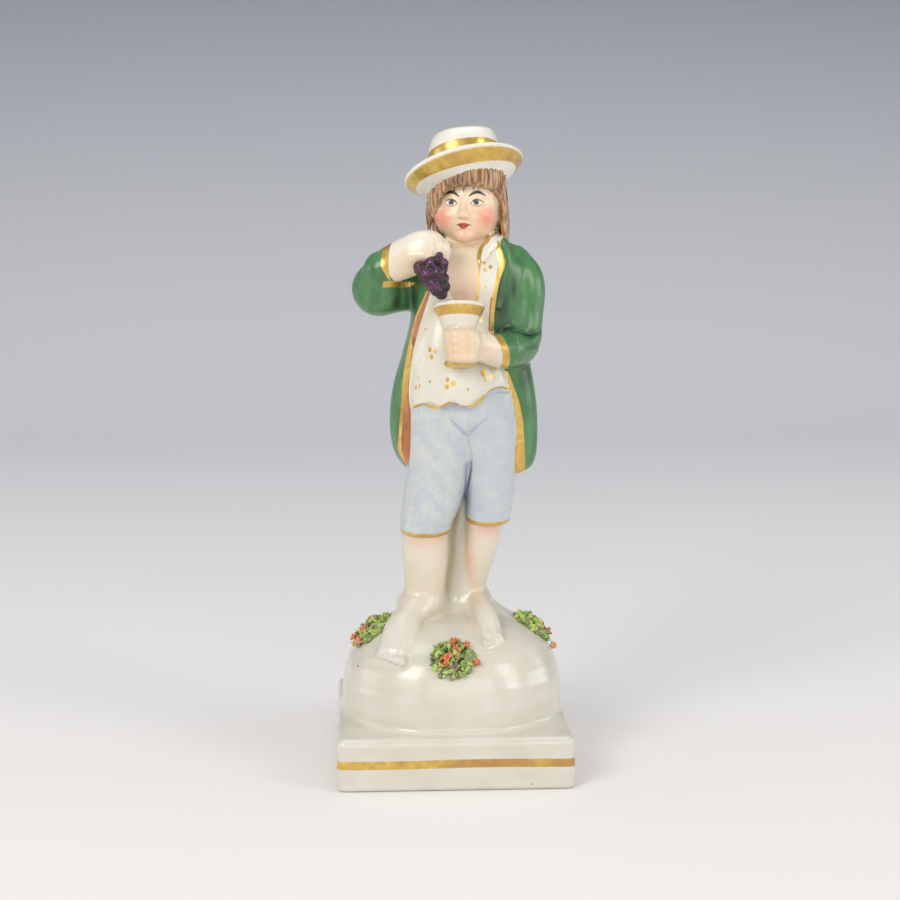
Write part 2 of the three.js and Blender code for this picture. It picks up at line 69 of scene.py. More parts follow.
HAT_RIM_RADIUS = 13.9
HAT_INNER_RADIUS = 9
HAT_DISH = 3.2
HAT_FELT = 1.1
HAT_CENTRE = (2.9, 0.6, 139.1)
HAT_ROLL = 11.6
HAT_PITCH = 23
HAT_CROWN_FOOT = 137
HEM_LEAN = 0.1

# Gilt: widths, or heights that a band runs between, on the cup, the hat and the plinth
HEM_GILT = 1.2
HAT_BAND = (0.35, 3.35)
RIM_GILT_FROM = (11.7, 10.6)
CUP_BAND = (11.2, 13.3)
CUP_FOOT_GILT = 1.5
PLINTH_LINE = (5.45, 7.35)

# The grids: sizes of their cells, and how many cells of distance they keep about a surface
BODY_CELL = 0.3
SMALL_CELL = 0.15
BAND = 8
BODY_LOW, BODY_HIGH = (-28.5, -28.5, -1.5), (28.5, 28.5, 150.3)
MOST_TRIANGLES = 185000
MM = 0.001

# Camera: place in millimetres, turn and tilt in degrees
CAMERA_PLACE = (-22.6, -437.2, 142.4)
CAMERA_YAW = -2.94
CAMERA_PITCH = -8.9
CAMERA_LENS = 75.76
SENSOR = 36
PICTURE = 900


# Meshes of single lumps
def between(rows, count):
    """Rows of numbers filled in to count rows, along a smooth curve through them."""
    rows = np.array(rows, float)
    place = np.linspace(0, len(rows) - 1, count)
    index = np.minimum(place.astype(int), len(rows) - 2)
    t = (place - index)[:, None]
    padded = np.vstack([2 * rows[0] - rows[1], rows, 2 * rows[-1] - rows[-2]])
    a, b, c, d = (padded[index + k] for k in range(4))
    return b + t / 2 * (c - a + t * (2 * a - 5 * b + 4 * c - d + t * (3 * (b - c) + d - a)))


def numbers(values, count):
    return between(np.array(values, float)[:, None], count)[:, 0]


def unit(vectors):
    return vectors / np.linalg.norm(vectors, axis=-1, keepdims=True)


def closed(rings):
    """A closed mesh over rings of points, with a fan over each end."""
    levels, sides = rings.shape[:2]
    points = np.vstack([rings.reshape(-1, 3), rings[0].mean(0), rings[-1].mean(0)])
    level, side = np.mgrid[:levels - 1, :sides]
    here = level * sides + side
    right = level * sides + (side + 1) % sides
    quads = np.stack([here, right, right + sides, here + sides], -1).reshape(-1, 4)
    around = np.arange(sides)
    after = (around + 1) % sides
    last = (levels - 1) * sides
    first_hub = np.full(sides, levels * sides)
    fans = [np.stack([after, around, first_hub], -1),
            np.stack([last + around, last + after, first_hub + 1], -1)]
    return points, np.vstack(fans), quads


def oval(angle, power):
    """Points of a superellipse of half width 1; a power of 2 is a circle and a higher one is squarer."""
    across, along = np.cos(angle), np.sin(angle)
    return (np.sign(across) * np.abs(across) ** (2 / power),
            np.sign(along) * np.abs(along) ** (2 / power))


def upright(sections, sides=72, levels=60, power=2.2, shape=None):
    """A form through level sections: height, middle x, middle y, half width, half depth."""
    rows = between(sections, levels)[:, :, None]
    angle = np.linspace(0, 2 * math.pi, sides, endpoint=False)[None, :]
    across, along = oval(angle, power)
    x = rows[:, 1] + rows[:, 3] * across
    y = rows[:, 2] + rows[:, 4] * along
    z = rows[:, 0] + 0 * across
    if shape:
        x, y, z = shape(x, y, z, angle, rows)
    return closed(np.stack([x, y, z], -1))


def limb(path, widths, heights=None, up=(0, 0, 1), sides=24, steps=40, flat_start=False):
    """A limb along a smooth path with a half width and half height at each point and round ends."""
    heights = widths if heights is None else heights
    centre = between(path, steps)
    width, height = numbers(widths, steps), numbers(heights, steps)
    ahead = unit(np.gradient(centre, axis=0))
    caps = np.radians([85, 70, 55, 40, 25, 10])
    rows = []
    if not flat_start:
        rows += [(0, -math.sin(a), math.cos(a)) for a in caps]
    rows += [(index, 0, 1) for index in range(steps)]
    rows += [(steps - 1, math.sin(a), math.cos(a)) for a in caps[::-1]]
    angle = np.linspace(0, 2 * math.pi, sides, endpoint=False)[:, None]
    rings = []
    for index, shift, scale in rows:
        aside = unit(np.cross(ahead[index], up))
        above = np.cross(aside, ahead[index])
        middle = centre[index] + ahead[index] * shift * min(width[index], height[index])
        rings.append(middle + scale * (aside * np.cos(angle) * width[index]
                                       - above * np.sin(angle) * height[index]))
    return closed(np.array(rings))


def ball(centre, radii, sides=32):
    lean = np.radians(np.linspace(-88, 88, sides // 2))[:, None]
    angle = np.linspace(0, 2 * math.pi, sides, endpoint=False)[None, :]
    points = np.stack([np.cos(lean) * np.cos(angle), np.cos(lean) * np.sin(angle),
                       np.sin(lean) + 0 * angle], -1)
    return closed(points * np.array(radii) + np.array(centre))


def turned(profile, place):
    """A profile of (radius, height) pairs turned about the place's own +Z."""
    profile = np.array(profile, float)
    angle = np.linspace(0, 2 * math.pi, 96, endpoint=False)[None, :]
    radius, height = profile[:, :1], profile[:, 1:]
    rings = np.stack([radius * np.cos(angle), radius * np.sin(angle), height + 0 * angle], -1)
    place = np.array(place)
    return closed(rings @ place[:3, :3].T + place[:3, 3])


def prism(outline, front, back):
    """A straight prism through an outline of (x, z) points."""
    return closed(np.array([[[x, y, z] for x, z in outline] for y in (front, back)], float))


def box(low, high):
    (x0, y0, z0), (x1, y1, z1) = low, high
    return prism([(x0, z0), (x1, z0), (x1, z1), (x0, z1)], y0, y1)


def leaning(at, pitch, roll):
    turn = Matrix.Rotation(math.radians(pitch), 4, "X") @ Matrix.Rotation(math.radians(roll), 4, "Y")
    return Matrix.Translation(at) @ turn


HAT_PLACE = leaning(HAT_CENTRE, -HAT_PITCH, -HAT_ROLL)
CUP_PLACE = leaning(CUP_FOOT, -CUP_LEAN, CUP_ROLL)


# Clay on the grid
def beside(points, start, end):
    """How far along a straight piece each point lies, from 0 to 1, and how far off it."""
    along = end - start
    share = np.clip((points - start) @ along / max(along @ along, 1e-9), 0, 1)
    return share, np.linalg.norm(points - start - share[:, None] * along, axis=1)


def soft_min(a, b, blend):
    """The lower of two distances, rounded over within the blend width."""
    if blend <= 0:
        return np.minimum(a, b)
    share = np.maximum(blend - np.abs(a - b), 0) / blend
    return np.minimum(a, b) - share * share * blend / 4


class Clay:
    """Signed distance to a lump of clay on a grid, negative inside."""

    def __init__(self, low=BODY_LOW, high=BODY_HIGH, cell=BODY_CELL):
        self.cell = cell
        self.low = np.floor(np.array(low) / cell).astype(int)
        self.shape = np.ceil(np.array(high) / cell).astype(int) - self.low + 1
        self.far = cell * BAND
        self.field = np.full(self.shape, self.far, np.float32)

    def block(self, mesh):
        """The part of the grid that a closed mesh touches, and its distances there."""
        points, triangles, quads = mesh
        grid = openvdb.FloatGrid.createLevelSetFromPolygons(
            points.astype(np.float32), triangles=triangles.astype(np.uint32),
            quads=quads.astype(np.uint32), halfWidth=BAND,
            transform=openvdb.createLinearTransform(self.cell))
        low, high = (np.array(corner) for corner in grid.evalActiveVoxelBoundingBox())
        low = np.maximum(low, self.low)
        high = np.minimum(high, self.low + self.shape - 1)
        values = np.empty(high - low + 1, np.float32)
        grid.copyToArray(values, ijk=tuple(int(v) for v in low))
        start = low - self.low
        return tuple(slice(s, s + n) for s, n in zip(start, values.shape)), values

    def add(self, mesh, blend=0.5):
        where, values = self.block(mesh)
        self.field[where] = soft_min(self.field[where], values, blend)
        return self

    def cut(self, mesh, blend=0.5):
        where, values = self.block(mesh)
        self.field[where] = -soft_min(-self.field[where], values, blend)
        return self

    def join(self, other, blend=0.5):
        self.field = soft_min(self.field, other.field, blend)
        return self

    def groove(self, path, width, depth, steps=24):
        """Presses a line into the clay along a smooth path, or raises a ridge with a depth below 0."""
        line = between(path, steps)
        reach = 2.2 * width
        low = np.floor((line.min(0) - reach) / self.cell).astype(int) - self.low
        high = np.ceil((line.max(0) + reach) / self.cell).astype(int) - self.low
        low, high = np.maximum(low, 0), np.minimum(high + 1, self.shape)
        where = tuple(slice(a, b) for a, b in zip(low, high))
        axes = [(np.arange(a, b) + g) * self.cell for a, b, g in zip(low, high, self.low)]
        points = np.stack(np.meshgrid(*axes, indexing="ij"), -1).reshape(-1, 3)
        gaps = [beside(points, start, end)[1] for start, end in zip(line[:-1], line[1:])]
        near = np.min(gaps, axis=0).reshape(self.field[where].shape)
        self.field[where] += (depth * np.exp(-(near / width) ** 2)).astype(np.float32)

    def soften(self):
        """Rounds every edge a little, as the glaze does."""
        for axis in range(3):
            self.field = (np.roll(self.field, 1, axis) + 2 * self.field
                          + np.roll(self.field, -1, axis)) / 4

    def at(self, points):
        """The distance at each point, between the grid's values."""
        place = points / self.cell - self.low
        place = np.clip(place, 0, self.shape - 1.001)
        base = place.astype(int)
        share = place - base
        total = np.zeros(len(points))
        for corner in np.ndindex(2, 2, 2):
            weight = np.prod(np.where(corner, share, 1 - share), axis=1)
            index = base + corner
            total += weight * self.field[index[:, 0], index[:, 1], index[:, 2]]
        return total

    def surface(self):
        """Points and quads of the zero level."""
        grid = openvdb.FloatGrid(self.far)
        grid.transform = openvdb.createLinearTransform(self.cell)
        grid.copyFromArray(self.field, ijk=tuple(int(v) for v in self.low), tolerance=0.0)
        grid.gridClass = openvdb.GridClass.LEVEL_SET
        points, quads = grid.convertToQuads(isovalue=0.0)
        return points, quads[:, ::-1]


# Base
def mound_height(share):
    """Height of the mound at a share of the way out from its middle."""
    rise = 1 - np.minimum(share, 1) ** MOUND_SHOULDER
    return PLINTH_HEIGHT + (MOUND_TOP - PLINTH_HEIGHT) * rise ** (1 / MOUND_SHOULDER)


def mound_surface(x, y):
    across = abs(x - MOUND_CENTRE[0]) / MOUND_RADIUS[0]
    along = abs(y - MOUND_CENTRE[1]) / MOUND_RADIUS[1]
    return float(mound_height((across ** MOUND_PLAN + along ** MOUND_PLAN) ** (1 / MOUND_PLAN)))


def plinth():
    half, edge, corner_radius, steps = PLINTH_SIDE / 2, 1.5, 1.7, 7
    rows = [(0, 0.7), (0.25, 0.3), (0.7, 0)]
    rows += [(z, 0.05 * math.sin(z)) for z in np.linspace(1.5, PLINTH_HEIGHT - edge, 12)]
    rows += [(PLINTH_HEIGHT - edge + edge * math.sin(a), edge * (1 - math.cos(a)))
             for a in np.radians([20, 40, 60, 78, 90])]
    rings = []
    for z, inset in rows:
        ring = []
        middle = half - inset - corner_radius
        for corner, (sx, sy) in enumerate([(1, 1), (-1, 1), (-1, -1), (1, -1)]):
            for angle in math.radians(90) * (corner + np.arange(steps) / (steps - 1)):
                ring.append((sx * middle + corner_radius * math.cos(angle),
                             sy * middle + corner_radius * math.sin(angle), z))
        rings.append(ring)
    return closed(np.array(rings))


def mound():
    shares = [1, 1, 0.996, 0.985, 0.965, 0.93, 0.88, 0.81, 0.72, 0.6, 0.45, 0.25, 0.08]
    root = 9
    angle = np.linspace(0, 2 * math.pi, 144, endpoint=False)
    across, along = oval(angle, MOUND_PLAN)
    rings = []
    for level, share in enumerate(shares):
        z = float(mound_height(share)) if level else root
        ripple = share * (1 + 0.006 * np.sin(5 * angle + 1.3) * (1 - share) + 0.004 * np.sin(9 * angle))
        rings.append(np.stack([MOUND_CENTRE[0] + MOUND_RADIUS[0] * ripple * across,
                               MOUND_CENTRE[1] + MOUND_RADIUS[1] * ripple * along, z + 0 * angle], -1))
    return closed(np.array(rings))


def stump():
    ridges, fine_ridges = 6, 11

    def bark(x, y, z, angle, rows):
        ridge = (1 + 0.045 * np.cos(angle * ridges + z * 0.06)
                 + 0.02 * np.cos(angle * fine_ridges - z * 0.2))
        return rows[:, 1] + (x - rows[:, 1]) * ridge, rows[:, 2] + (y - rows[:, 2]) * ridge, z

    return upright([
        [31, 3.6, 4.2, 13, 10], [35.5, 3.6, 4.4, 8.6, 7.4], [39, 3.1, 4.8, 5.9, 5.6],
        [46, 2.9, 5, 4.8, 4.9], [55, 2.9, 5, 4.4, 4.6], [61, 3.3, 4.6, 3.6, 4.2],
        [65, 3.4, 4.2, 2, 2.8],
    ], shape=bark)


def make_base():
    clay = Clay()
    clay.add(plinth()).add(mound(), 1.8).add(stump(), 2.2)
    clay.add(limb([[4, 7, 48], [5.4, 11.4, 51.5]], [2.2, 1.7], flat_start=True), 1)
    clay.groove([[5.6, 12.6, 52.6], [5.8, 14, 53.4]], 0.9, 0.5, 4)
    front = np.linspace(math.radians(190), math.radians(350), 14)
    for height, lift in SWELLS:
        radius = (MOUND_RADIUS[0] + 0.2) * (1 - ((height - PLINTH_HEIGHT) / 24) ** 3 * 0.14)
        swell = np.stack([MOUND_CENTRE[0] + radius * np.cos(front),
                          MOUND_CENTRE[1] + radius * np.sin(front),
                          height + 1.3 * np.sin(2 * front + height * 1.7)], -1)
        clay.groove(swell, 1.1, -lift)
    return clay


# Bare skin
def foot(clay, heel, toe, half_width, inward):
    """A foot on the mound, with five toes from the big one outward; inward is 1 or -1."""
    along = unit(np.array([toe[0] - heel[0], toe[1] - heel[1]]))
    across = np.array([-along[1], along[0]]) * inward * half_width
    length = math.dist(heel, toe)

    def over_mound(side, reach, lift):
        x, y = np.array(toe) + across * side + along * reach
        return [x, y, mound_surface(x, y) + lift]

    path = [over_mound(0, -length * (1 - t) - t, 2 - 1.4 * t) for t in (0, 0.34, 0.68, 1)]
    clay.add(limb(path, [w * half_width for w in (3.2, 3.4, 3.9, 3.3)], [3.6, 3.2, 2.3, 1.3]), 1.2)
    for share in (0, 0.25, 0.5, 0.75, 1):
        radius = (1.15 - 0.35 * share) * half_width
        middle = over_mound(2.9 - 5.8 * share, 0.5 - 1.6 * share ** 1.4, radius * 0.35)
        clay.add(ball(middle, [radius, radius * 1.9, radius]), 0.5)
    for gap in range(4):
        side = 2.15 - 1.45 * gap
        between_toes = [over_mound(side, 1.4 - 0.4 * gap, 0.8), over_mound(side * 0.85, -2.4, 1.9)]
        clay.groove(between_toes, 0.4, 0.36)


def make_legs():
    clay = Clay()
    clay.add(upright([
        [33, -6.8, -0.4, 5, 5.6], [39, -6.4, -0.8, 4.6, 5], [44, -6.2, -1, 4.9, 5.2],
        [49, -6.1, -1.1, 5.4, 5.8], [58, -6.1, -1.2, 5.5, 6],
    ]))
    clay.add(upright([
        [33, 6.6, 1.6, 2.9, 3.8], [39, 6.1, 1.9, 2.2, 3], [44, 6.3, 1.6, 2.9, 3.7],
        [49, 7.1, 1.1, 3.7, 4.6], [60, 8.6, 0.2, 4.7, 5.6],
    ]))
    foot(clay, (-7, -0.6), (-14.6, -16.2), 1.1, 1)
    foot(clay, (6.5, 1.4), (9, -15.4), 0.72, -1)
    clay.add(ball([-7.2, -1.8, 37], [5, 6, 4]), 2)
    clay.add(ball([6.4, 0.6, 36.6], [2.8, 3.8, 3]), 2)
    clay.add(ball([-11.4, -1.2, 38], [1.3, 1.5, 1.4]), 1.6)
    clay.add(ball([8.6, 1.6, 38.4], [0.9, 1.2, 1.1]), 1.4)
    return clay


HEAD_MIDDLE = (3.8, 0.4)
FACE_TURN = math.radians(9)
EYE_HEIGHT = 131.4
EYE_GAP = 2.85
MOUTH_HEIGHT = 126.4


def on_face(places):
    """Places on a face that looks straight ahead, carried to the head, which looks a little aside."""
    x, y, z = np.array(places, float).T
    ahead, aside = math.cos(FACE_TURN), math.sin(FACE_TURN)
    return np.stack([HEAD_MIDDLE[0] + x * ahead + y * aside,
                     HEAD_MIDDLE[1] - x * aside + y * ahead, z], -1)


def make_head():
    clay = Clay()

    def lump(centre, radii, blend):
        clay.add(ball(on_face(centre), radii), blend)

    def press(path, width, depth):
        clay.groove(on_face(path), width, depth)

    clay.add(ball([4, 0.4, 132], [7.5, 7.8, 9]))
    lump([0, -2.6, 127.4], [6.7, 5.8, 5.2], 2.5)
    clay.add(upright([[114, 3.6, 1.4, 5.2, 5.4], [119, 3.6, 0.8, 4.5, 4.6],
                      [125, 3.5, 0.6, 4.3, 4.5]], levels=20), 1.6)
    clay.add(upright([
        [100, 1.4, -0.2, 8.4, 8.6], [105, 1.4, -0.1, 8.5, 8.4], [111, 2.7, 0, 7.5, 7.8],
        [117, 3.6, 0.3, 7.9, 7.1], [121, 3.7, 0.8, 5.6, 5.2],
    ], power=2.3, levels=40), 1.6)
    clay.groove([[2.6, -8.4, 117.6], [2.4, -8.6, 112], [2.5, -8.8, 108]], 0.8, 0.25)
    for side in (-1, 1):
        eye = side * EYE_GAP
        lump([side * 3.7, -5.3, 128], [2.4, 1.9, 2.2], 2)
        press([[side * 1.5, -8.6, 131.6], [eye, -8.4, 131.5], [side * 4.4, -7.4, 131.3]], 1.3, 0.55)
        lump([eye, -6.75, EYE_HEIGHT - 0.1], [1.55, 1.15, 1.1], 0.5)
        press([[side * 1.4, -7.75, 131.3], [eye, -8, 132.25], [side * 4.3, -7.3, 131.4]], 0.35, -0.28)
        lump([side * 0.75, -8.75, 128.55], [0.6, 0.7, 0.55], 0.5)
    nose = [[0, -7.6, 132.4], [0, -8.4, 130.6], [0, -9.4, 128.9]]
    clay.add(limb(on_face(nose), [0.5, 0.7, 0.95]), 0.9)
    mouth = MOUTH_HEIGHT
    for lift, half, thick in ((0.3, 1.5, 0.42), (-0.5, 1.2, 0.48)):
        lip = [[-half, -7.3, mouth], [0, -8.25, mouth + lift], [half, -7.3, mouth]]
        clay.add(limb(on_face(lip), [0.3, 0.62, 0.3], [0.25, thick, 0.25]), 0.5)
    press([[-1.6, -7.8, mouth], [0, -9, mouth - 0.1], [1.6, -7.8, mouth]], 0.3, 0.3)
    lump([0, -7, 123.9], [1.9, 1.5, 1.4], 1.4)
    press([[-1.7, -7.6, 125], [0, -8.6, 124.9], [1.7, -7.6, 125]], 0.5, 0.25)
    return clay


def make_hands():
    clay = Clay()
    clay.add(limb([[-14.6, -6.8, 117.2], [-10.4, -9, 119.2], [-6, -10.4, 121], [-2.8, -10.6, 120.4]],
                  [3.6, 3.4, 3.4, 2.4], [4.2, 4.6, 4.6, 3.4], flat_start=True))
    clay.add(limb([[-9.4, -12, 119.4], [-6.2, -13.4, 119.8], [-3.8, -13.2, 119]], [1.4, 1.3, 1]), 1.3)
    for finger in range(3):
        x = -4.6 + finger * 1.5
        clay.groove([[x - 0.6, -11.4, 124.9 - finger * 0.7], [x + 0.3, -13.6, 122 - finger * 0.4],
                     [x + 0.2, -13.8, 119]], 0.4, 0.28)
    clay.add(limb([[13, -9.4, 98], [9, -12.6, 98.6], [6, -14.4, 99.6]], [3.2, 3, 2.6], [4.2, 3.7, 3.3],
                  flat_start=True))
    for finger in range(4):
        z = 102.6 - finger * 1.75
        front = -0.3 * finger
        reach = 3.1 - finger * 0.2
        clay.add(limb([[5.6, -15.6, z], [3.4, -18.6 + front, z], [0.2, -18.8 + front, z + 0.2],
                       [1.2 - reach, -16.6 + front, z + 0.3]],
                      [1.1, 1.1, 1.1, 0.95], [1, 1.05, 1.05, 0.9], sides=16), 1.1)
    clay.add(ball([2, -16.9, 100.1], [4, 2.75, 4.1]), 0.9)
    clay.add(limb([[7, -12.6, 101.8], [4.8, -12.6, 103.6], [2, -11.6, 104]], [1.3, 1.2, 1]), 0.8)
    return clay


# Clothes
def make_breeches():
    def lean(x, y, z, angle, rows):
        return x, y, z + (y - rows[:, 2]) * HEM_LEAN * np.clip((70 - rows[:, 0]) / 12, 0, 1)

    clay = Clay()
    clay.add(upright([
        [72, 3.2, -0.4, 5, 5.6], [77, 2.6, -0.2, 10.8, 7.6], [82, 2.3, 0, 12.2, 9], [90, 2.2, 0, 12.2, 9.2],
    ]))
    clay.add(upright([
        [55.2, -6.1, -1.2, 5.9, 6.5], [58, -5.6, -1.2, 6.3, 6.9], [62, -4.4, -1.2, 6.9, 7.2],
        [68, -3.4, -1, 7.3, 7.6], [76, -2.9, -0.6, 7.7, 8.1], [88, -2.2, -0.2, 8, 8.6],
    ], power=2.4, shape=lean), 0.8)
    clay.add(upright([
        [57.4, 8.9, 0, 5.1, 6], [65, 9.2, 0, 5.9, 6.8], [76, 9, 0, 6.7, 7.6], [88, 7, 0, 7.8, 8.4],
    ], power=2.4, shape=lean), 0.8)
    crotch = [3.2, -8.6, 78.6]
    clay.groove([[-0.9, -9.6, 82.5], [1.2, -9.3, 80.6], crotch], 0.6, 0.5)
    clay.groove([[6.6, -9.6, 83.4], [5, -9, 80.8], crotch], 0.55, 0.4)
    clay.groove([crotch, [4.1, -8, 74], [3.8, -7, 68], [2.5, -6, 64]], 0.6, 0.6)
    return clay


CHEST_OPENING = [
    (-4.5, 124.5), (-4.2, 118), (-2.2, 113.5), (-0.7, 110.5), (0.6, 107.6), (4.9, 107.2), (5.6, 109.5),
    (5.9, 113), (6.1, 116.4), (7, 119), (9, 121.6), (10.2, 124.5),
]


def make_waistcoat():
    def hem(x, y, z, angle, rows):
        rise = np.clip((x - 4) / 5, 0, 1)
        low = np.clip((92 - rows[:, 0]) / 6, 0, 1)
        lift = 3.4 * rise * rise * (3 - 2 * rise) + 0.45 * np.cos(x * 7 / 6)
        return x, y, z + lift * low

    clay = Clay()
    clay.add(upright([
        [85.7, 1.6, -0.8, 11.9, 9.9], [87, 1.7, -0.9, 12, 10.4], [91, 1.8, -0.9, 11.8, 10.5],
        [98, 1.2, -0.6, 10.7, 10], [105, 1.4, -0.1, 9.2, 9.1], [111, 2.7, 0, 8.2, 8.5],
        [117, 3.6, 0.3, 8.6, 7.8], [121.5, 3.8, 0.6, 6.5, 6.4],
    ], power=2.3, shape=hem, sides=120, levels=90))
    clay.cut(prism(CHEST_OPENING, -14, -1), 0.5)
    clay.cut(box((-20, 3, 80), (20, 20, 125)), 0)
    clay.add(limb([[6.9, -7.4, 118.4], [8, -6.4, 120.6], [9.6, -4.6, 122.9], [10.4, -1.5, 124.2]],
                  [0.8, 1.3, 1.5, 1.3], [0.4, 0.5, 0.55, 0.5], up=(0.2, -1, 0.3)), 0.5)
    return clay


def coat_rings():
    """Sections of the coat: height, left outside, left edge, right edge, right outside, front, back."""
    rows = between([
        [68.6, -8.5, -8.3, 15.7, 16.9, -2.6, 8.4], [70, -10.2, -9.7, 15.5, 18.7, -3.4, 9.6],
        [73, -12.3, -11.5, 15.2, 19.7, -3.9, 10.8], [78, -13.6, -11.9, 15.2, 20.1, -4.2, 11.6],
        [84, -13.8, -11.3, 14.9, 20, -4.6, 11.8], [90, -13, -10.9, 13.2, 19.3, -5.2, 11.4],
        [96, -11.4, -10.3, 11, 18.2, -6, 10.6], [103, -9.6, -8.7, 9, 16.6, -7, 9.7],
        [107.5, -9.1, -7.4, 9, 16.2, -7.6, 9.4], [112, -9.6, -5.2, 10.3, 17, -8, 9.4],
        [117, -9.4, -4.2, 11.9, 16.8, -7.3, 9.2], [120.6, -7, -3.2, 11.4, 14.8, -5.6, 8.6],
        [123.4, -3, -1.6, 10.6, 12.2, -3.4, 7.6],
    ], 110)
    quarter = np.radians(np.arange(0, 90, 3.75))
    turn_in, turn_out = np.sin(quarter), 1 - np.cos(quarter)
    tail_folds = 8
    rings = []
    for z, out_left, edge_left, edge_right, out_right, front, back in rows:
        middle = (out_left + out_right) / 2
        waist = front + (back - front) * 0.42
        corners = [((edge_right, front), (out_right, waist), turn_in, turn_out),
                   ((out_right, waist), (middle, back), turn_out, turn_in),
                   ((middle, back), (out_left, waist), turn_in, turn_out),
                   ((out_left, waist), (edge_left, front), turn_out, turn_in)]
        x = np.concatenate([a[0] + (b[0] - a[0]) * share for a, b, share, _ in corners])
        y = np.concatenate([a[1] + (b[1] - a[1]) * share for a, b, _, share in corners])
        loose = np.clip((96 - z) / 24, 0, 1)
        angle = np.arctan2(y, x - middle)
        swell = 1 + 0.045 * loose * np.cos(angle * tail_folds) * np.clip((y - front) / 4, 0, 1)
        rings.append(np.stack([middle + (x - middle) * swell, y * swell, z + 0 * x], -1))
    return closed(np.array(rings))


def make_coat():
    clay = Clay()
    clay.add(coat_rings())
    clay.cut(prism([(2.7, 84), (1.7, 66), (4.3, 66), (3.3, 84)], 10.4, 15), 0.9)
    clay.add(limb([[10.6, -7.6, 108], [11.4, -7.4, 112.5], [12.3, -6.5, 117.4], [11.4, -4.4, 121.6],
                   [11, 1, 123.8]], [0.5, 1.1, 1.6, 1.5, 1.5], [0.6, 0.8, 1, 1, 1.2], up=(0, -1, 0.4)), 0.7)
    return clay


# Folds beside the lapels and across the elbows: path, width and depth
SLEEVE_FOLDS = [
    ([[9.4, -6.6, 114.5], [11.3, -6.2, 110], [11.6, -6.2, 105], [10.8, -6.8, 101.6]], 0.75, 1.2),
    ([[12.6, -4.9, 114.6], [13.6, -5.6, 109.4], [12.8, -5.9, 103.8]], 0.65, 0.75),
    ([[14.6, -4.6, 112.6], [15.4, -5.2, 109], [14.6, -5.6, 105.4]], 0.6, 0.4),
    ([[20.8, -1.5, 102.6], [17.6, -6.2, 101.4], [14, -8.3, 102.4]], 0.7, 0.6),
    ([[20.6, -2.4, 98.8], [17, -7.4, 98.6], [14.2, -9.4, 99.6]], 0.6, 0.5),
    ([[-10.4, -5.4, 113.6], [-9, -5.6, 110.6], [-9.6, -5.2, 107.6]], 0.7, 0.5),
    ([[-12.6, -5.6, 113.2], [-11.4, -5.7, 110.4], [-12, -4.9, 107.4]], 0.7, 0.4),
    ([[-20.8, -4.6, 116], [-18.4, -6.6, 113.4], [-15.8, -7.4, 112.2]], 0.7, 0.25),
]


def make_sleeves():
    clay = Clay()
    clay.add(limb([[12.4, 1.4, 118.4], [15.8, 1, 113], [15.9, 0, 105], [15.5, -2.6, 99.4],
                   [12.6, -8.2, 98.2]], [4.4, 5.9, 5.5, 5.1, 4.4], [4.6, 6, 5.6, 5, 4.4],
                  up=(0.3, -1, 0.2), flat_start=True, sides=48, steps=80))
    clay.add(ball([13.6, 1.2, 118.1], [4.4, 4.6, 3.6]), 1.5)
    clay.add(limb([[-4.6, 1.4, 113.6], [-10.5, 0.6, 112.2], [-16.4, -1, 111.6]], [5, 5.2, 6],
                  [6.2, 5.8, 6], flat_start=True, sides=48), 0.8)
    clay.add(limb([[-16.6, -1.4, 111.8], [-15.6, -6, 116.2]], [5.9, 4.6], [6, 4.5], up=(0, 1, 0),
                  sides=48), 1.5)
    for path, width, depth in SLEEVE_FOLDS:
        clay.groove(path, width, depth)
    return clay


# Hair and hat
def brim_floor(x, y):
    """Height of the dished brim's floor, where it meets the crown and the hair."""
    return (HAT_CENTRE[2] - HAT_DISH + (x - HAT_CENTRE[0]) * math.tan(math.radians(HAT_ROLL))
            - (y - HAT_CENTRE[1]) * math.tan(math.radians(HAT_PITCH)))


# Locks: x, tip's height and sideways lean in the fringe; x, y, top, bottom and drift at the sides
FRINGE = [
    (-3.6, 131.2, 1.6), (-2.7, 132.3, 1.7), (-1.7, 133.1, 1.6), (-0.6, 134.2, 1.4), (0.6, 134.3, 1.1),
    (1.6, 134.9, 0.7), (2.7, 134.5, 0.5), (3.8, 135, 0.3), (4.9, 134.6, 0.2), (6, 135.1, 0.1),
    (7.1, 134.7, 0), (8.2, 134.9, 0), (9.2, 134.2, -0.1), (10.2, 133.2, -0.2), (11, 131.8, -0.3),
]
SIDE_LOCKS = [
    (-3.9, -3.6, 135, 128, -0.2), (-3.2, -4.3, 133, 129, -0.1), (-4.6, -2.4, 133, 126.4, -0.2),
    (11.6, -3.4, 135, 129.6, 0.1), (12.1, -2.8, 134, 126, 0.2), (12.4, -2, 131, 123.6, 0.2),
    (12, -2.6, 127.4, 122.4, 0.3), (12.6, -1, 129, 121.6, 0.3), (-5, -0.6, 131, 124.6, 0),
    (-3.3, -1.8, 131, 122.4, 0.1), (-2.9, -3, 129, 123.6, -0.1),
]


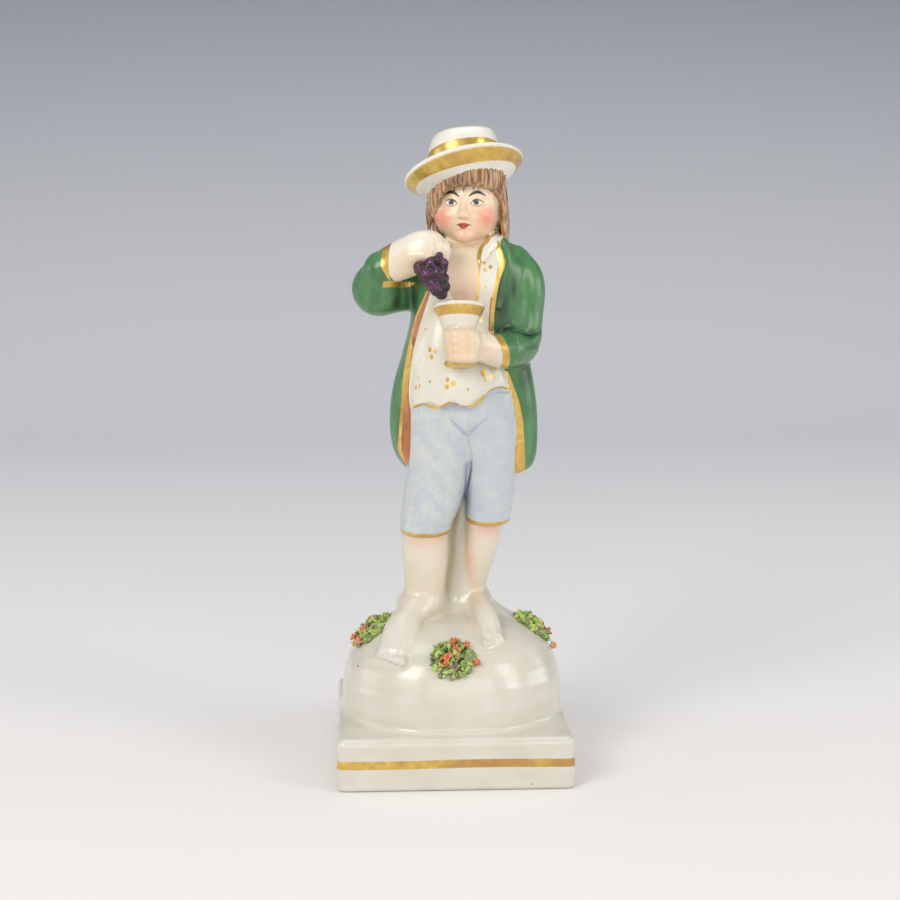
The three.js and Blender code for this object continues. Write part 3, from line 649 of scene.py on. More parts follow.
def make_hair():
    locks = 26

    def strands(x, y, z, angle, rows):
        wave = 1 + 0.028 * np.cos(angle * locks + 0.5 * np.sin(z * 0.5 + angle * 3))
        x = rows[:, 1] + (x - rows[:, 1]) * wave
        y = rows[:, 2] + (y - rows[:, 2]) * wave
        ragged = np.clip((123 - rows[:, 0]) / 4, 0, 1)
        z = z + ragged * 0.7 * np.cos(angle * 10)
        return x, y, np.minimum(z, brim_floor(x, y) - 0.3)

    clay = Clay()
    clay.add(upright([
        [119.5, 5.6, 4.6, 6.2, 4.2], [123, 4.8, 3.6, 8.1, 6], [129, 4.1, 2.1, 8.7, 8],
        [136, 3.6, 0.6, 9.1, 9.2], [140.5, 3.3, 0.8, 8.4, 8.6],
    ], sides=312, levels=70, shape=strands))
    hair_front = -2.2
    face = [(3.7 + 7.5 * x, 128.5 + 6.7 * z) for x, z in zip(*oval(np.linspace(0, 6.283, 48), 2.6))]
    clay.cut(prism(face, -30, hair_front), 0.4)
    clay.cut(box((-3.8, -30, 108), (11.3, hair_front, 128)), 0.4)
    for x, low, lean in FRINGE:
        front = -8.1 + 0.075 * (x - 3.6) ** 2
        clay.add(limb([[x + lean, front - 0.6, brim_floor(x, front - 0.6) + 0.2],
                       [x + 0.3 * lean, front - 0.6, low + 1.9], [x, front + 0.1, low]],
                      [0.8, 0.65, 0.35], [0.6, 0.5, 0.25], up=(0, -1, 0), sides=14, steps=14), 0.45)
    for x, y, top, low, drift in SIDE_LOCKS:
        path = [[x, y, top], [x + 0.4 * drift, y - 0.3, (top + low) / 2 + 0.5], [x + drift, y + 0.1, low]]
        clay.add(limb(path, [0.75, 0.85, 0.4], up=(0, -1, 0), sides=14, steps=18), 0.3)
    return clay


def make_hat():
    clay = Clay()
    felt = HAT_FELT
    brim = [(0, -HAT_DISH - felt), (HAT_INNER_RADIUS, -HAT_DISH - felt), (11.2, -HAT_DISH * 0.62 - felt),
            (HAT_RIM_RADIUS - 0.2, -felt), (HAT_RIM_RADIUS + 0.2, -felt * 0.5), (HAT_RIM_RADIUS - 0.2, 0),
            (11.6, -0.3), (9, 0.1), (0, 0.1)]
    clay.add(turned(brim, HAT_PLACE))

    def tilted(x, y, z, angle, rows):
        rise = (x - rows[:, 1]) * 0.06 - (y - rows[:, 2]) * 0.2
        share = np.clip((rows[:, 0] - HAT_CROWN_FOOT) / 5.4, 0, 1)
        return x, y, (brim_floor(x, y) - felt / 2) * (1 - share) + (z + rise) * share

    clay.add(upright([
        [HAT_CROWN_FOOT, 3, 0.3, 8.3, 8.4], [142.4, 2.9, 0.9, 8.1, 8.2], [145.2, 3, 1.5, 7.6, 7.7],
        [146.9, 3.2, 1.9, 6.6, 6.7], [147.5, 3.6, 2.1, 5, 5.2], [FIGURE_TOP - 0.85, 3.8, 2.2, 3.2, 3.4],
    ], shape=tilted, sides=96), 0.5)
    return clay


def make_cup():
    lip, height, wall, dish = CUP_RIM_RADIUS, CUP_HEIGHT, 0.8, 3.8
    foot_ring = [(2.95 + 0.62 * math.cos(a), 0.72 + 0.72 * math.sin(a))
                 for a in np.radians(np.arange(-90, 91, 18))]
    outside = between([(2.55, 2), (2.75, 3.4), (3.4, 7), (4.5, 10.6), (5.6, 12.9), (lip, height)], 24)
    inside = [((lip - wall) * share, height - dish * depth)
              for share, depth in ((1, 0), (0.86, 0.6), (0.55, 0.95), (0, 1))]
    profile = [(0, 0)] + foot_ring + [tuple(row) for row in outside] + inside
    return Clay().add(turned(profile, CUP_PLACE))


# The whole figure
def make_figure():
    """The parts pressed into one body, and the parts themselves, which tell where paint belongs."""
    parts = {
        "base": make_base(), "skin": make_legs().join(make_head(), 0), "hands": make_hands(),
        "breeches": make_breeches(), "waistcoat": make_waistcoat(),
        "coat": make_coat().join(make_sleeves(), 1.1), "hair": make_hair(), "hat": make_hat(),
        "cup": make_cup(),
    }
    body = Clay().join(parts["base"], 0)
    for name, blend in (("skin", 1.3), ("hands", 0.6), ("breeches", 0.5), ("waistcoat", 0.4),
                        ("coat", 0.4), ("hair", 0.3), ("hat", 0.4), ("cup", 0.3)):
        body.join(parts[name], blend)
    body.soften()
    return body, parts


def placed(name, data):
    """A new object in the scene."""
    made = bpy.data.objects.new(name, data)
    bpy.context.scene.collection.objects.link(made)
    return made


def new_mesh(name, points, faces):
    mesh = bpy.data.meshes.new(name)
    mesh.from_pydata((np.array(points) * MM).tolist(), [], np.array(faces).tolist())
    mesh.validate()
    return placed(name, mesh)


def split_finely(piece, boxes, cuts):
    """Splits the faces inside some boxes, where the finest lines are painted."""
    shape = bmesh.new()
    shape.from_mesh(piece.data)
    for low, high in boxes:
        low, high = Vector(low) * MM, Vector(high) * MM
        edges = [edge for edge in shape.edges
                 if all(low[k] < vert.co[k] < high[k] for vert in edge.verts for k in range(3))]
        bmesh.ops.subdivide_edges(shape, edges=edges, cuts=cuts, use_grid_fill=True)
    bmesh.ops.triangulate(shape, faces=shape.faces)
    shape.to_mesh(piece.data)
    shape.free()


def thinned(piece, triangles, fine):
    """Fewer triangles where nothing fine is, and the same ones at the fine points."""
    plain = piece.vertex_groups.new(name="plain")
    plain.add(np.flatnonzero(~fine).tolist(), 1, "REPLACE")
    modifier = piece.modifiers.new("fewer", "DECIMATE")
    modifier.ratio = min(1, triangles / len(piece.data.polygons))
    modifier.vertex_group = "plain"
    depsgraph = bpy.context.evaluated_depsgraph_get()
    made = bpy.data.meshes.new_from_object(piece.evaluated_get(depsgraph))
    piece.modifiers.clear()
    piece.vertex_groups.clear()
    piece.data = made
    made.shade_smooth()


# Painting
FOCAL = CAMERA_LENS / SENSOR * PICTURE
CAMERA_ANGLES = Euler((math.radians(90 + CAMERA_PITCH), 0, math.radians(CAMERA_YAW)))
CAMERA_TURN = CAMERA_ANGLES.to_matrix()


def flowing(points, step):
    """Points at even steps along straight pieces."""
    points = np.array(points, float)
    gaps = np.linalg.norm(np.diff(points, axis=0), axis=1)
    run = np.concatenate([[0], gaps.cumsum()])
    places = np.linspace(0, run[-1], max(int(run[-1] / step), 1) + 1)
    return np.stack([np.interp(places, run, column) for column in points.T], -1)


class Paint:
    """Marks on a piece's points, as signed distances in millimetres, positive inside a painted area."""

    def __init__(self, piece, parts):
        self.mesh = piece.data
        count = len(self.mesh.vertices)
        flat = np.empty(count * 3, np.float32)
        self.mesh.vertices.foreach_get("co", flat)
        self.points = flat.reshape(-1, 3).astype(float) / MM
        self.mesh.vertices.foreach_get("normal", flat)
        self.normals = flat.reshape(-1, 3).astype(float)
        faces = [tuple(face.vertices) for face in self.mesh.polygons]
        self.tree = BVHTree.FromPolygons([Vector(point) for point in self.points], faces)
        away = self.points - np.array(CAMERA_PLACE)
        seen = away @ np.array(CAMERA_TURN)
        self.scale = FOCAL / -seen[:, 2]
        self.pixels = PICTURE / 2 + seen[:, :2] * [1, -1] * self.scale[:, None]
        self.facing = -(away * self.normals).sum(1) > 0
        depth = {name: clay.at(self.points) for name, clay in parts.items()}
        self.inside = {name: np.min([v for k, v in depth.items() if k != name], axis=0) - depth[name]
                       for name in depth}
        self.marks = {}

    def within(self, names):
        return np.max([self.inside[name] for name in names], axis=0)

    def mark(self, name, values, on=None):
        if on:
            values = np.minimum(values, self.within(on))
        old = self.marks.get(name, np.full(len(self.points), -1.0))
        self.marks[name] = np.maximum(old, values)

    def region(self, outline):
        """How far inside an outline of picture pixels the points that face the camera lie."""
        outline = np.array(outline, float)
        gap = np.full(len(self.points), np.inf)
        inner = np.zeros(len(self.points), bool)
        for start, end in zip(outline, np.roll(outline, -1, 0)):
            along, away = end - start, self.pixels - start
            gap = np.minimum(gap, beside(self.pixels, start, end)[1])
            spans = (away[:, 1] < 0) != (self.pixels[:, 1] < end[1])
            if along[1]:
                inner ^= spans & (away[:, 0] < away[:, 1] * along[0] / along[1])
        return np.where(self.facing, np.where(inner, gap, -gap) / self.scale, -1)

    def lay(self, pixels, step=2.5):
        """Points on the surface where a line of picture pixels falls."""
        hits = []
        for x, y in flowing(pixels, step):
            ray = CAMERA_TURN @ Vector(((x - PICTURE / 2) / FOCAL, (PICTURE / 2 - y) / FOCAL, -1))
            hit = self.tree.ray_cast(Vector(CAMERA_PLACE), ray)[0]
            if hit:
                hits.append(tuple(hit))
        return np.array(hits)

    def pressed(self, line):
        """A line of x and z in millimetres, pressed straight back onto the face."""
        hits = []
        for x, z in flowing(line, 0.3):
            start, end = on_face([[x, -40, z], [x, 0, z]])
            hits.append(tuple(self.tree.ray_cast(Vector(start), Vector(end - start))[0]))
        return np.array(hits)

    def stroke(self, name, line, widths, on=None):
        """A line with a width, or with widths at even steps along it."""
        widths = np.atleast_1d(np.array(widths, float))
        width = np.interp(np.linspace(0, 1, len(line)), np.linspace(0, 1, len(widths)), widths)
        reach = widths.max() / 2 + 1.2
        near = np.all((self.points > line.min(0) - reach) & (self.points < line.max(0) + reach), axis=1)
        points = self.points[near]
        best = np.full(len(points), -1.0)
        for start, end, first, last in zip(line[:-1], line[1:], width[:-1], width[1:]):
            share, gap = beside(points, start, end)
            best = np.maximum(best, (first + (last - first) * share) / 2 - gap)
        values = np.full(len(self.points), -1.0)
        values[near] = best
        self.mark(name, values, on)

    def beyond(self, first, second, axis):
        """How far along an axis the points lie from a plane through two picture points."""
        start, end = self.lay([first, second], 1000)
        slant = unit(end - start)
        return (self.points - start) @ unit(axis - np.dot(axis, slant) * slant)

    def glow(self, name, centre, radius, strength=1):
        """A soft patch of colour about a point."""
        gap = np.linalg.norm((self.points - np.array(centre)) / np.array(radius), axis=1)
        old = self.marks.get(name, np.zeros(len(self.points)))
        self.marks[name] = np.maximum(old, strength * np.exp(-gap ** 2))

    def hollows(self, clay, reaches):
        """How deep in a hollow each point lies, below 0 on a ridge, for the glaze that pools there, the
        painted shade in hollows and the painted highlight on ridges.
        """
        total = np.zeros(len(self.points))
        for reach in reaches:
            total += 1 - clay.at(self.points + self.normals * reach) / reach
            total -= 1 + clay.at(self.points - self.normals * reach) / reach
        self.marks["hollow"] = total / len(reaches)

    def fine(self, plain_marks, reach):
        """The points close to the edge of a mark, or on a sharp bend."""
        edges = [np.abs(values) for name, values in self.marks.items() if name not in plain_marks]
        return (np.min(edges, axis=0) < reach) | (np.abs(self.marks["hollow"]) > 0.5)

    def keep(self):
        for name, values in self.marks.items():
            layer = self.mesh.attributes.new(name, "FLOAT", "POINT")
            layer.data.foreach_set("value", np.clip(values, -1, 1).astype(np.float32))


# Painted edges, as picture pixels that they fall on
LINING_OUTER = [(426.5, 291), (414, 320), (411.3, 330), (405.6, 360), (402.7, 380), (397.5, 449),
                (400, 455.5), (408.5, 467.5)]
LINING_INNER = [(430.5, 291), (418.3, 330), (413.2, 350), (410, 370), (408.6, 390), (409, 400),
                (410.6, 411), (410.7, 440), (410.3, 452), (408.5, 467.5)]
GILT_INNER = [(428, 291), (416, 320), (413.5, 330), (411.8, 340), (412.6, 347), (411.1, 356),
              (407.8, 392), (403.3, 412), (401.2, 440), (401.5, 450), (404.5, 459), (408.5, 467.5)]
LAPEL_INNER = [(497.5, 240.5), (496.2, 246), (496.5, 252), (498.8, 262), (492.4, 295), (490.3, 315),
               (489.8, 333.5)]
LAPEL_OUTER = [(500.5, 241), (500.5, 247), (505.8, 261), (504.3, 268), (501.5, 275), (498.7, 285),
               (496.6, 295), (494, 315), (493.7, 333.5)]
LAPEL_SHADE = [(491, 297), (489.3, 308), (488.2, 334), (491, 334), (491.8, 308), (492.8, 297)]
SKIRT_INNER = [(505, 371), (512.8, 400), (516.3, 420), (516.9, 430), (515, 450), (514.6, 470),
               (515.5, 474.5)]
SKIRT_OUTER = [(508, 371), (518.8, 400), (523, 420), (525, 450), (525, 470), (523, 474.5)]
COLLAR_EDGE = [(497, 232.3), (492.5, 235.5), (484.5, 244.5), (481.3, 249.5), (479.7, 256),
               (479, 290), (478, 298)]
NECK_EDGE = [(450.5, 236), (451.7, 244.5), (450, 252.5), (449, 262), (449.5, 280), (450.5, 288),
             (453, 299.5)]
COAT_OPENING = (LINING_INNER + [(409, 482), (516, 482)] + SKIRT_INNER[::-1] + [(498, 350)]
                + LAPEL_OUTER[::-1] + [(506, 234), (500, 225), (446, 225), (446, 255)])
BARE_CHEST = NECK_EDGE + [(456, 306), (474, 306)] + COLLAR_EDGE[::-1] + [(496, 224), (450, 224)]
UNDER_CUFF = [(383, 281.5), (390, 281.1), (415.9, 282.4), (414, 284.5), (407.7, 287.5),
              (399.5, 287.7), (394, 287), (382.5, 287.7)]
WAISTCOAT_HEM = [(413.6, 407.3), (423, 403.7), (430, 406.3), (437.5, 407.8), (443.8, 405.6),
                 (448.8, 402.7), (455, 403.2), (461.3, 406.3), (467.5, 406.9), (475, 404.4),
                 (480, 401), (490, 390.2), (496.3, 387.8), (502.5, 387.2), (508.8, 389.4)]
LAP = WAISTCOAT_HEM + [(530, 392), (530, 500), (390, 500), (390, 408)]
# Sprigs on the waistcoat: middle, width and height of each dab
SPRIG_DABS = [
    (430, 349.4, 3.6, 5), (435, 351, 4, 5), (431.5, 356.9, 3.4, 5), (418.2, 378.5, 1.4, 6),
    (416, 387, 2.4, 5), (419.6, 386, 3, 4.4), (447.5, 379.8, 3.4, 5), (453.1, 383.8, 5.4, 5.6),
    (446.9, 386.9, 4.4, 5), (484, 373.2, 6.4, 3.2), (491.9, 375.6, 4.4, 5), (485.6, 379.4, 4, 4.6),
    (484.5, 263.5, 3.2, 4.2), (490.5, 267, 3.8, 4.4), (484.8, 270.5, 3.2, 4.2), (425.6, 329.4, 1.6, 2.6),
    (419.8, 360, 2, 2.6), (429.8, 381.6, 2.4, 3), (467.9, 389.4, 2.8, 3.2), (413.1, 400.6, 1.8, 2.4),
    (480.6, 319.4, 4.4, 5), (490.5, 253, 2, 2.6), (485.8, 287.5, 3, 3.2),
]
# Lines of painted shade along the breeches' creases, as picture pixels
BREECHES_CREASES = [
    [(449, 418), (455, 424), (461, 430), (467.5, 435.8)],
    [(487, 418.5), (478, 425.5), (470.5, 432.5), (467.5, 435.8)],
    [(467.5, 435.8), (469.6, 445), (471.8, 455), (472, 467), (470, 478), (467, 490), (464, 500)],
]
INSEAM = [(471.6, 460), (471, 470), (468.8, 482), (466, 494)]
# Two picture points on a line across each wrist, and the way in which the hand lies, in millimetres
LEFT_WRIST = ((503.8, 339), (509.4, 363), (-7, -5, 1.6))
RIGHT_WRIST = ((381.6, 258), (382.5, 284), (8.6, -3.6, 3.5))
FIRING_SPECKS = [(358, 666), (532, 784)]
PIXELS_PER_MM = 4.27
# Deep parts of the coat's folds, darkened with painted shade: middle and size
COAT_SHADES = [
    ((10.8, -8, 114.5), (1, 4, 4)), ((11.2, -8, 108), (2.2, 5, 4.6)), ((14, -6, 112), (0.8, 4, 3)),
    ((12.8, -7, 102.6), (2.4, 4, 1.6)), ((18, -6, 101.4), (3.4, 4, 0.7)), ((18, -6, 98.6), (3, 4, 0.5)),
    ((-9, -6, 109.6), (1.6, 4, 3.4)), ((-12.4, -6, 108.4), (1.2, 4, 2.6)), ((17.4, -4, 92), (1.6, 4, 4)),
]


def local_to(place, points):
    place = np.array(place.inverted())
    return points @ place[:3, :3].T + place[:3, 3]


def band(values, low, high):
    return np.minimum(values - low, high - values)


def paint_torso(paint):
    x, y, z = paint.points.T
    clothes = ["coat", "waistcoat", "skin", "breeches"]
    torso = paint.within(["coat", "waistcoat", "skin"])
    faces_camera = paint.facing & (y < 3)
    throat = (paint.inside["skin"] > 0) & (z > 120)
    front = (torso > 0) & faces_camera & (z > 68) & (z < 124) & ~throat
    opening = paint.region(COAT_OPENING)
    paint.marks["coat"] = np.where(front, -opening, paint.inside["coat"])
    paint.marks["skin"] = np.where(front, paint.region(BARE_CHEST), paint.inside["skin"])
    lap = ((torso > 0) | (paint.inside["breeches"] > 0)) & faces_camera & (z > 76) & (z < 96)
    lap_edge = np.minimum(paint.region(LAP), opening)
    paint.marks["breeches"] = np.where(lap, lap_edge, paint.inside["breeches"])
    paint.mark("lining", paint.region(LINING_OUTER + LINING_INNER[::-1]), clothes)
    paint.mark("lining", paint.region(LAPEL_SHADE), clothes)
    for inner, outer in ((GILT_INNER, LINING_OUTER), (LAPEL_INNER, LAPEL_OUTER),
                         (SKIRT_INNER, SKIRT_OUTER)):
        paint.mark("gold", paint.region(outer + inner[::-1]), clothes)
    for name, line, widths, on in (
        ("gold", COLLAR_EDGE, [0.35, 0.5, 0.9, 1.4, 1.2, 0.5, 0.5, 0.6, 0.6, 0.8], clothes[:3]),
        ("gold", NECK_EDGE[-2:], 0.4, clothes),
        # A dark stroke down the neck's edge under the chin is painted shade
        ("dark", NECK_EDGE[1:3], [0.2, 0.4, 0.2], clothes),
        ("gold", WAISTCOAT_HEM, [0.6, 0.55, 0.75, 0.6, 0.7, 0.6, 0.7, 0.65, 0.55], clothes),
        ("seam", INSEAM, [0.15, 0.5, 0.6, 0.3], ["breeches"]),
    ):
        paint.stroke(name, paint.lay(line), widths, on)
    # Painted shade along the breeches' creases
    for crease in BREECHES_CREASES:
        paint.stroke("crease", paint.lay(crease), [0.15, 0.4, 0.6, 0.5], ["breeches"])
    for x, y, width, height in SPRIG_DABS:
        half = max(height - width, 0.4) / 2
        paint.stroke("gold", paint.lay([(x, y - half), (x, y + half)], 1), width / PIXELS_PER_MM, clothes)
    # Painted shade deep in the coat's folds
    for centre, size in COAT_SHADES:
        paint.glow("shade", centre, size)


def paint_cuffs(paint):
    """Sleeves up to a plane across each wrist, and a band of gilt beyond it."""
    x, y = paint.points.T[:2]
    hands = paint.inside["hands"]
    for side, wrist, width in (((x > 8) & (y > -20), LEFT_WRIST, 2), (x < -8, RIGHT_WRIST, 1.8)):
        reach = paint.beyond(*wrist)
        paint.mark("coat", np.where(side, np.minimum(hands, -reach), -1))
        paint.mark("gold", np.where(side, np.minimum(band(reach, 0, width), hands + 0.3), -1))
    paint.mark("gold", paint.region(UNDER_CUFF), ["hands", "coat"])


def paint_gilt(paint):
    """Gilt on the breeches' hems, the hat, the cup and the plinth."""
    angle = np.linspace(0, 2 * math.pi, 90)
    across, along = oval(angle, 2.4)
    for x, y, width, depth, height in ((-6.1, -1.2, 6, 6.6, 55.55), (8.9, 0, 5.2, 6.1, 57.75)):
        hem = np.stack([x + width * across, y + depth * along, height + depth * along * HEM_LEAN], -1)
        paint.stroke("gold", hem, HEM_GILT, ["breeches", "skin"])
    x, y, z = local_to(HAT_PLACE, paint.points).T
    half_width, half_depth = RIM_GILT_FROM
    past_edge = (np.hypot(x / half_width, y / half_depth) - 1) * 11
    underside = -z - 0.95 - (HAT_RIM_RADIUS - np.hypot(x, y)) * 0.6
    paint.mark("gold", np.minimum(past_edge, underside), ["hat"])
    paint.mark("gold", band(z, HAT_BAND[0], HAT_BAND[1] - 0.08 * x), ["hat"])
    x, y, z = local_to(CUP_PLACE, paint.points).T
    outside = np.hypot(x, y) - 4.7
    paint.mark("gold", np.minimum(band(z, *CUP_BAND), outside), ["cup"])
    paint.mark("gold", CUP_FOOT_GILT - z, ["cup"])
    wave = 0.12 * np.sin(paint.points[:, 0] * 0.13 + 0.6)
    paint.mark("gold", band(paint.points[:, 2] - wave, *PLINTH_LINE), ["base"])


def paint_flesh(paint):
    """Warm flesh and pink blushes: middle, size and strength."""
    for centre, size, strength in (
        ((4, -5, 128), (9, 8, 9), 1), ((2.4, -8, 114), (7, 6, 9), 0.9), ((1.5, -18, 99.5), (6, 6, 6), 0.9),
        ((-8, -12, 117), (7, 6, 5), 0.6), ((0, -4, 46), (16, 14, 16), 0.3),
    ):
        paint.glow("flesh", centre, size, strength)
    left_cheek, right_cheek, chin, nose = on_face([
        [5.1, -6.4, 127.9], [-5.1, -6.4, 127.9], [0, -7.4, 123.9], [0, -9.4, 129.2]])
    for centre, size, strength in (
        (right_cheek, (2.7, 3.5, 2.3), 0.85), (left_cheek, (2.7, 3.5, 2.3), 0.85),
        (chin, (3.4, 3, 1.6), 0.4), (nose, (1, 1.4, 0.9), 0.3), ((2.4, -8, 112.5), (3.6, 3, 5), 0.15),
        ((-5.4, -13, 117), (4, 3, 2.6), 0.25), ((0.5, -19, 100.5), (3.6, 3, 3.6), 0.16),
        ((8.6, -13, 99), (2.6, 3, 3), 0.2), ((-6, -6, 54), (6, 4, 2), 0.28),
        ((8.6, -5, 56.4), (5, 4, 2.2), 0.4), ((4.4, -2, 48), (1.6, 3, 7), 0.2),
    ):
        paint.glow("blush", centre, size, strength)


# Brush strokes of an eye and its brow: paint, widths, and steps outward and up from the eye's middle
EYE_STROKES = [
    ("white", [0.3, 1.25, 0.3], [(-1.1, -0.1), (0, 0.05), (1.15, 0)]),
    ("iris", 1.1, [(-0.1, 0.1), (0.1, 0.1)]),
    ("dark", 0.5, [(-0.05, 0.15), (0.05, 0.15)]),
    ("dark", [0.15, 0.38, 0.34, 0.2], [(-1.4, -0.25), (-0.6, 0.55), (0.4, 0.75), (1.5, 0.1)]),
    ("line", [0.14, 0.22, 0.14], [(-1.1, -0.45), (0, -0.75), (1.2, -0.4)]),
    ("dark", [0.3, 0.75, 0.7, 0.3], [(-1.6, 1.5), (-0.6, 2.25), (0.6, 2.35), (1.9, 1.6)]),
]
# Strokes of the mouth: paint, widths, half length and lift of the middle
MOUTH_STROKES = [
    ("red", [0.2, 0.5, 0.62, 0.5, 0.2], 1.5, 0.3),
    ("red", [0.2, 0.6, 0.72, 0.6, 0.2], 1.15, -0.5),
    ("dark", [0.1, 0.16, 0.2, 0.16, 0.1], 1.7, -0.05),
]


def paint_face(paint):
    for side in (-1, 1):
        for name, widths, steps in EYE_STROKES:
            line = [(side * (EYE_GAP + out), EYE_HEIGHT + up) for out, up in between(steps, 12)]
            paint.stroke(name, paint.pressed(line), widths)
        paint.stroke("line", paint.pressed([(side * 0.75, 128.1), (side * 0.45, 128)]), 0.28)
    for name, widths, half, lift in MOUTH_STROKES:
        mouth = [(-half, MOUTH_HEIGHT), (0, MOUTH_HEIGHT + lift), (half, MOUTH_HEIGHT)]
        paint.stroke(name, paint.pressed(between(mouth, 12)), widths)


def paint_hair(paint):
    """Loose strands brushed onto the forehead under the fringe, and dark patches in it."""
    for index, (x, low, lean) in enumerate(FRINGE):
        middle = x - HEAD_MIDDLE[0] + 1.1
        tip = low - 0.5 - 0.5 * math.sin(index * 2.3)
        strand = paint.pressed([(middle, low + 0.8), (middle - 0.3 * lean, tip)])
        paint.stroke("hair", strand, [0.7, 0.5, 0.1])
    for x in (-0.6, 1.3, 3.2):
        paint.glow("stroke", (x, -8.4, 135.2), (0.8, 2, 1.5), 0.9)


# Marks that fade out softly, so that they need no fine triangles; how close to the edges of the other
# marks the fine ones lie; and how far from the surface the hollows are felt, in millimetres
SOFT_MARKS = ("flesh", "blush", "stroke", "shade", "hollow")
FINE_REACH = 0.32
FIGURE_REACHES = (0.5, 1, 1.9)
SMALL_REACHES = (0.3, 0.6)


def paint_figure(figure, parts, body):
    """Paints the figure's points, and tells which of them lie where fine detail is."""
    paint = Paint(figure, parts)
    for name in ("hair", "hands"):
        paint.mark(name, paint.inside[name])
    for part in (paint_torso, paint_cuffs, paint_gilt, paint_flesh, paint_face, paint_hair):
        part(paint)
    for x, y in FIRING_SPECKS:
        paint.stroke("dark", paint.lay([(x - 0.4, y), (x + 0.4, y)], 0.5), 0.35)
    paint.hollows(body, FIGURE_REACHES)
    paint.keep()
    return paint.fine(SOFT_MARKS, FINE_REACH)


# Materials
def linear(red, green, blue):
    """A colour as it looks on a screen, 0 to 255, as the light it sends back."""
    values = [c / 255 for c in (red, green, blue)]
    return tuple(c / 12.92 if c < 0.04045 else ((c + 0.055) / 1.055) ** 2.4 for c in values) + (1,)


class Shade:
    """A material and short ways to add nodes to it."""

    def __init__(self, name):
        self.material = bpy.data.materials.new(name)
        self.material.use_nodes = True
        self.tree = self.material.node_tree
        self.surface = self.tree.nodes["Principled BSDF"]

    def feed(self, socket, value):
        """Links another node's output to a socket, or sets the socket to a number or a screen colour."""
        if isinstance(value, bpy.types.NodeSocket):
            self.tree.links.new(value, socket)
        elif isinstance(value, tuple):
            socket.default_value = linear(*value)
        else:
            socket.default_value = value

    def give(self, name, value):
        """Feeds one of the surface's own sockets."""
        self.feed(self.surface.inputs[name], value)

    def math(self, operation, a, b=0.0):
        node = self.tree.nodes.new("ShaderNodeMath")
        node.operation = operation
        self.feed(node.inputs[0], a)
        self.feed(node.inputs[1], b)
        return node.outputs[0]

    def value(self, name):
        node = self.tree.nodes.new("ShaderNodeAttribute")
        node.attribute_name = name
        return node.outputs["Fac"]

    def place(self):
        return self.tree.nodes.new("ShaderNodeTexCoord").outputs["Object"]

    def along(self, axis):
        parts = self.tree.nodes.new("ShaderNodeSeparateXYZ")
        self.feed(parts.inputs[0], self.place())
        return parts.outputs[axis]

    def noise(self, size, detail=3, stretch=(1, 1, 1), distortion=0.0):
        """Clouds about size millimetres across, drawn out along some axes."""
        mapping = self.tree.nodes.new("ShaderNodeMapping")
        self.feed(mapping.inputs["Vector"], self.place())
        mapping.inputs["Scale"].default_value = tuple(1 / (size * MM * s) for s in stretch)
        node = self.tree.nodes.new("ShaderNodeTexNoise")
        self.feed(node.inputs["Vector"], mapping.outputs["Vector"])
        node.inputs["Scale"].default_value = 1
        node.inputs["Detail"].default_value = detail
        node.inputs["Distortion"].default_value = distortion
        return node.outputs["Fac"]

    def spread(self, value, low, high, first=0.0, last=1.0):
        node = self.tree.nodes.new("ShaderNodeMapRange")
        for socket, given in zip(node.inputs, (value, low, high, first, last)):
            self.feed(socket, given)
        return node.outputs["Result"]

    def mask(self, name, soft=0.06, wobble=0.05, size=1.2):
        """1 inside a painted mark and 0 outside, with the uneven edge of a brush."""
        uneven = self.math("MULTIPLY", self.math("SUBTRACT", self.noise(size, 2), 0.5), wobble * 2)
        return self.spread(self.math("ADD", self.value(name), uneven), -soft, soft)

    def mix(self, factor, under, over):
        node = self.tree.nodes.new("ShaderNodeMix")
        node.data_type = "RGBA"
        self.feed(node.inputs["Factor"], factor)
        self.feed(node.inputs["A"], under)
        self.feed(node.inputs["B"], over)
        return next(output for output in node.outputs if output.type == "RGBA")

    def layered(self, colour, *layers):
        """A colour with others laid over it; each layer has a factor, a strength and a colour."""
        for factor, strength, over in layers:
            colour = self.mix(self.math("MULTIPLY", factor, strength), colour, over)
        return colour


def bare_clay(shade, pooled_glaze_and_shade):
    """Cream glaze over the clay, greyer and darker low down as painted shade, and greener and darker where
    it pools, partly the glaze itself and partly painted shade.
    """
    cloud = shade.spread(shade.noise(9, 4), 0.35, 0.65)
    low = shade.mix(cloud, (208, 202, 187), (215, 211, 199))
    high = shade.mix(cloud, (226, 219, 202), (232, 227, 214))
    colour = shade.mix(shade.spread(shade.along("Z"), 0.04, 0.14), low, high)
    return shade.layered(colour, (pooled_glaze_and_shade, 0.8, (200, 188, 146)))


def flesh(shade, glaze, pooled_glaze_and_shade, hands):
    warm = shade.value("flesh")
    # The flesh is a little darker in its hollows, partly pooled glaze and partly painted shade
    return shade.layered(
        glaze, (warm, 1, (240, 211, 174)), (pooled_glaze_and_shade, 0.2, (224, 174, 128)),
        (shade.value("blush"), 1, (232, 120, 92)),
        (shade.math("MULTIPLY", hands, warm), 0.7, (208, 178, 138)))


def brown_hair(shade, pooled_glaze_and_shade):
    strand = shade.spread(shade.noise(0.5, 3, (1, 1, 12), 0.5), 0.38, 0.6)
    # The hair is darker in its hollows, partly pooled glaze and partly painted shade
    return shade.layered(
        shade.mix(strand, (116, 76, 50), (196, 156, 112)), (shade.value("stroke"), 0.7, (72, 38, 36)),
        (pooled_glaze_and_shade, 0.7, (84, 50, 36)))


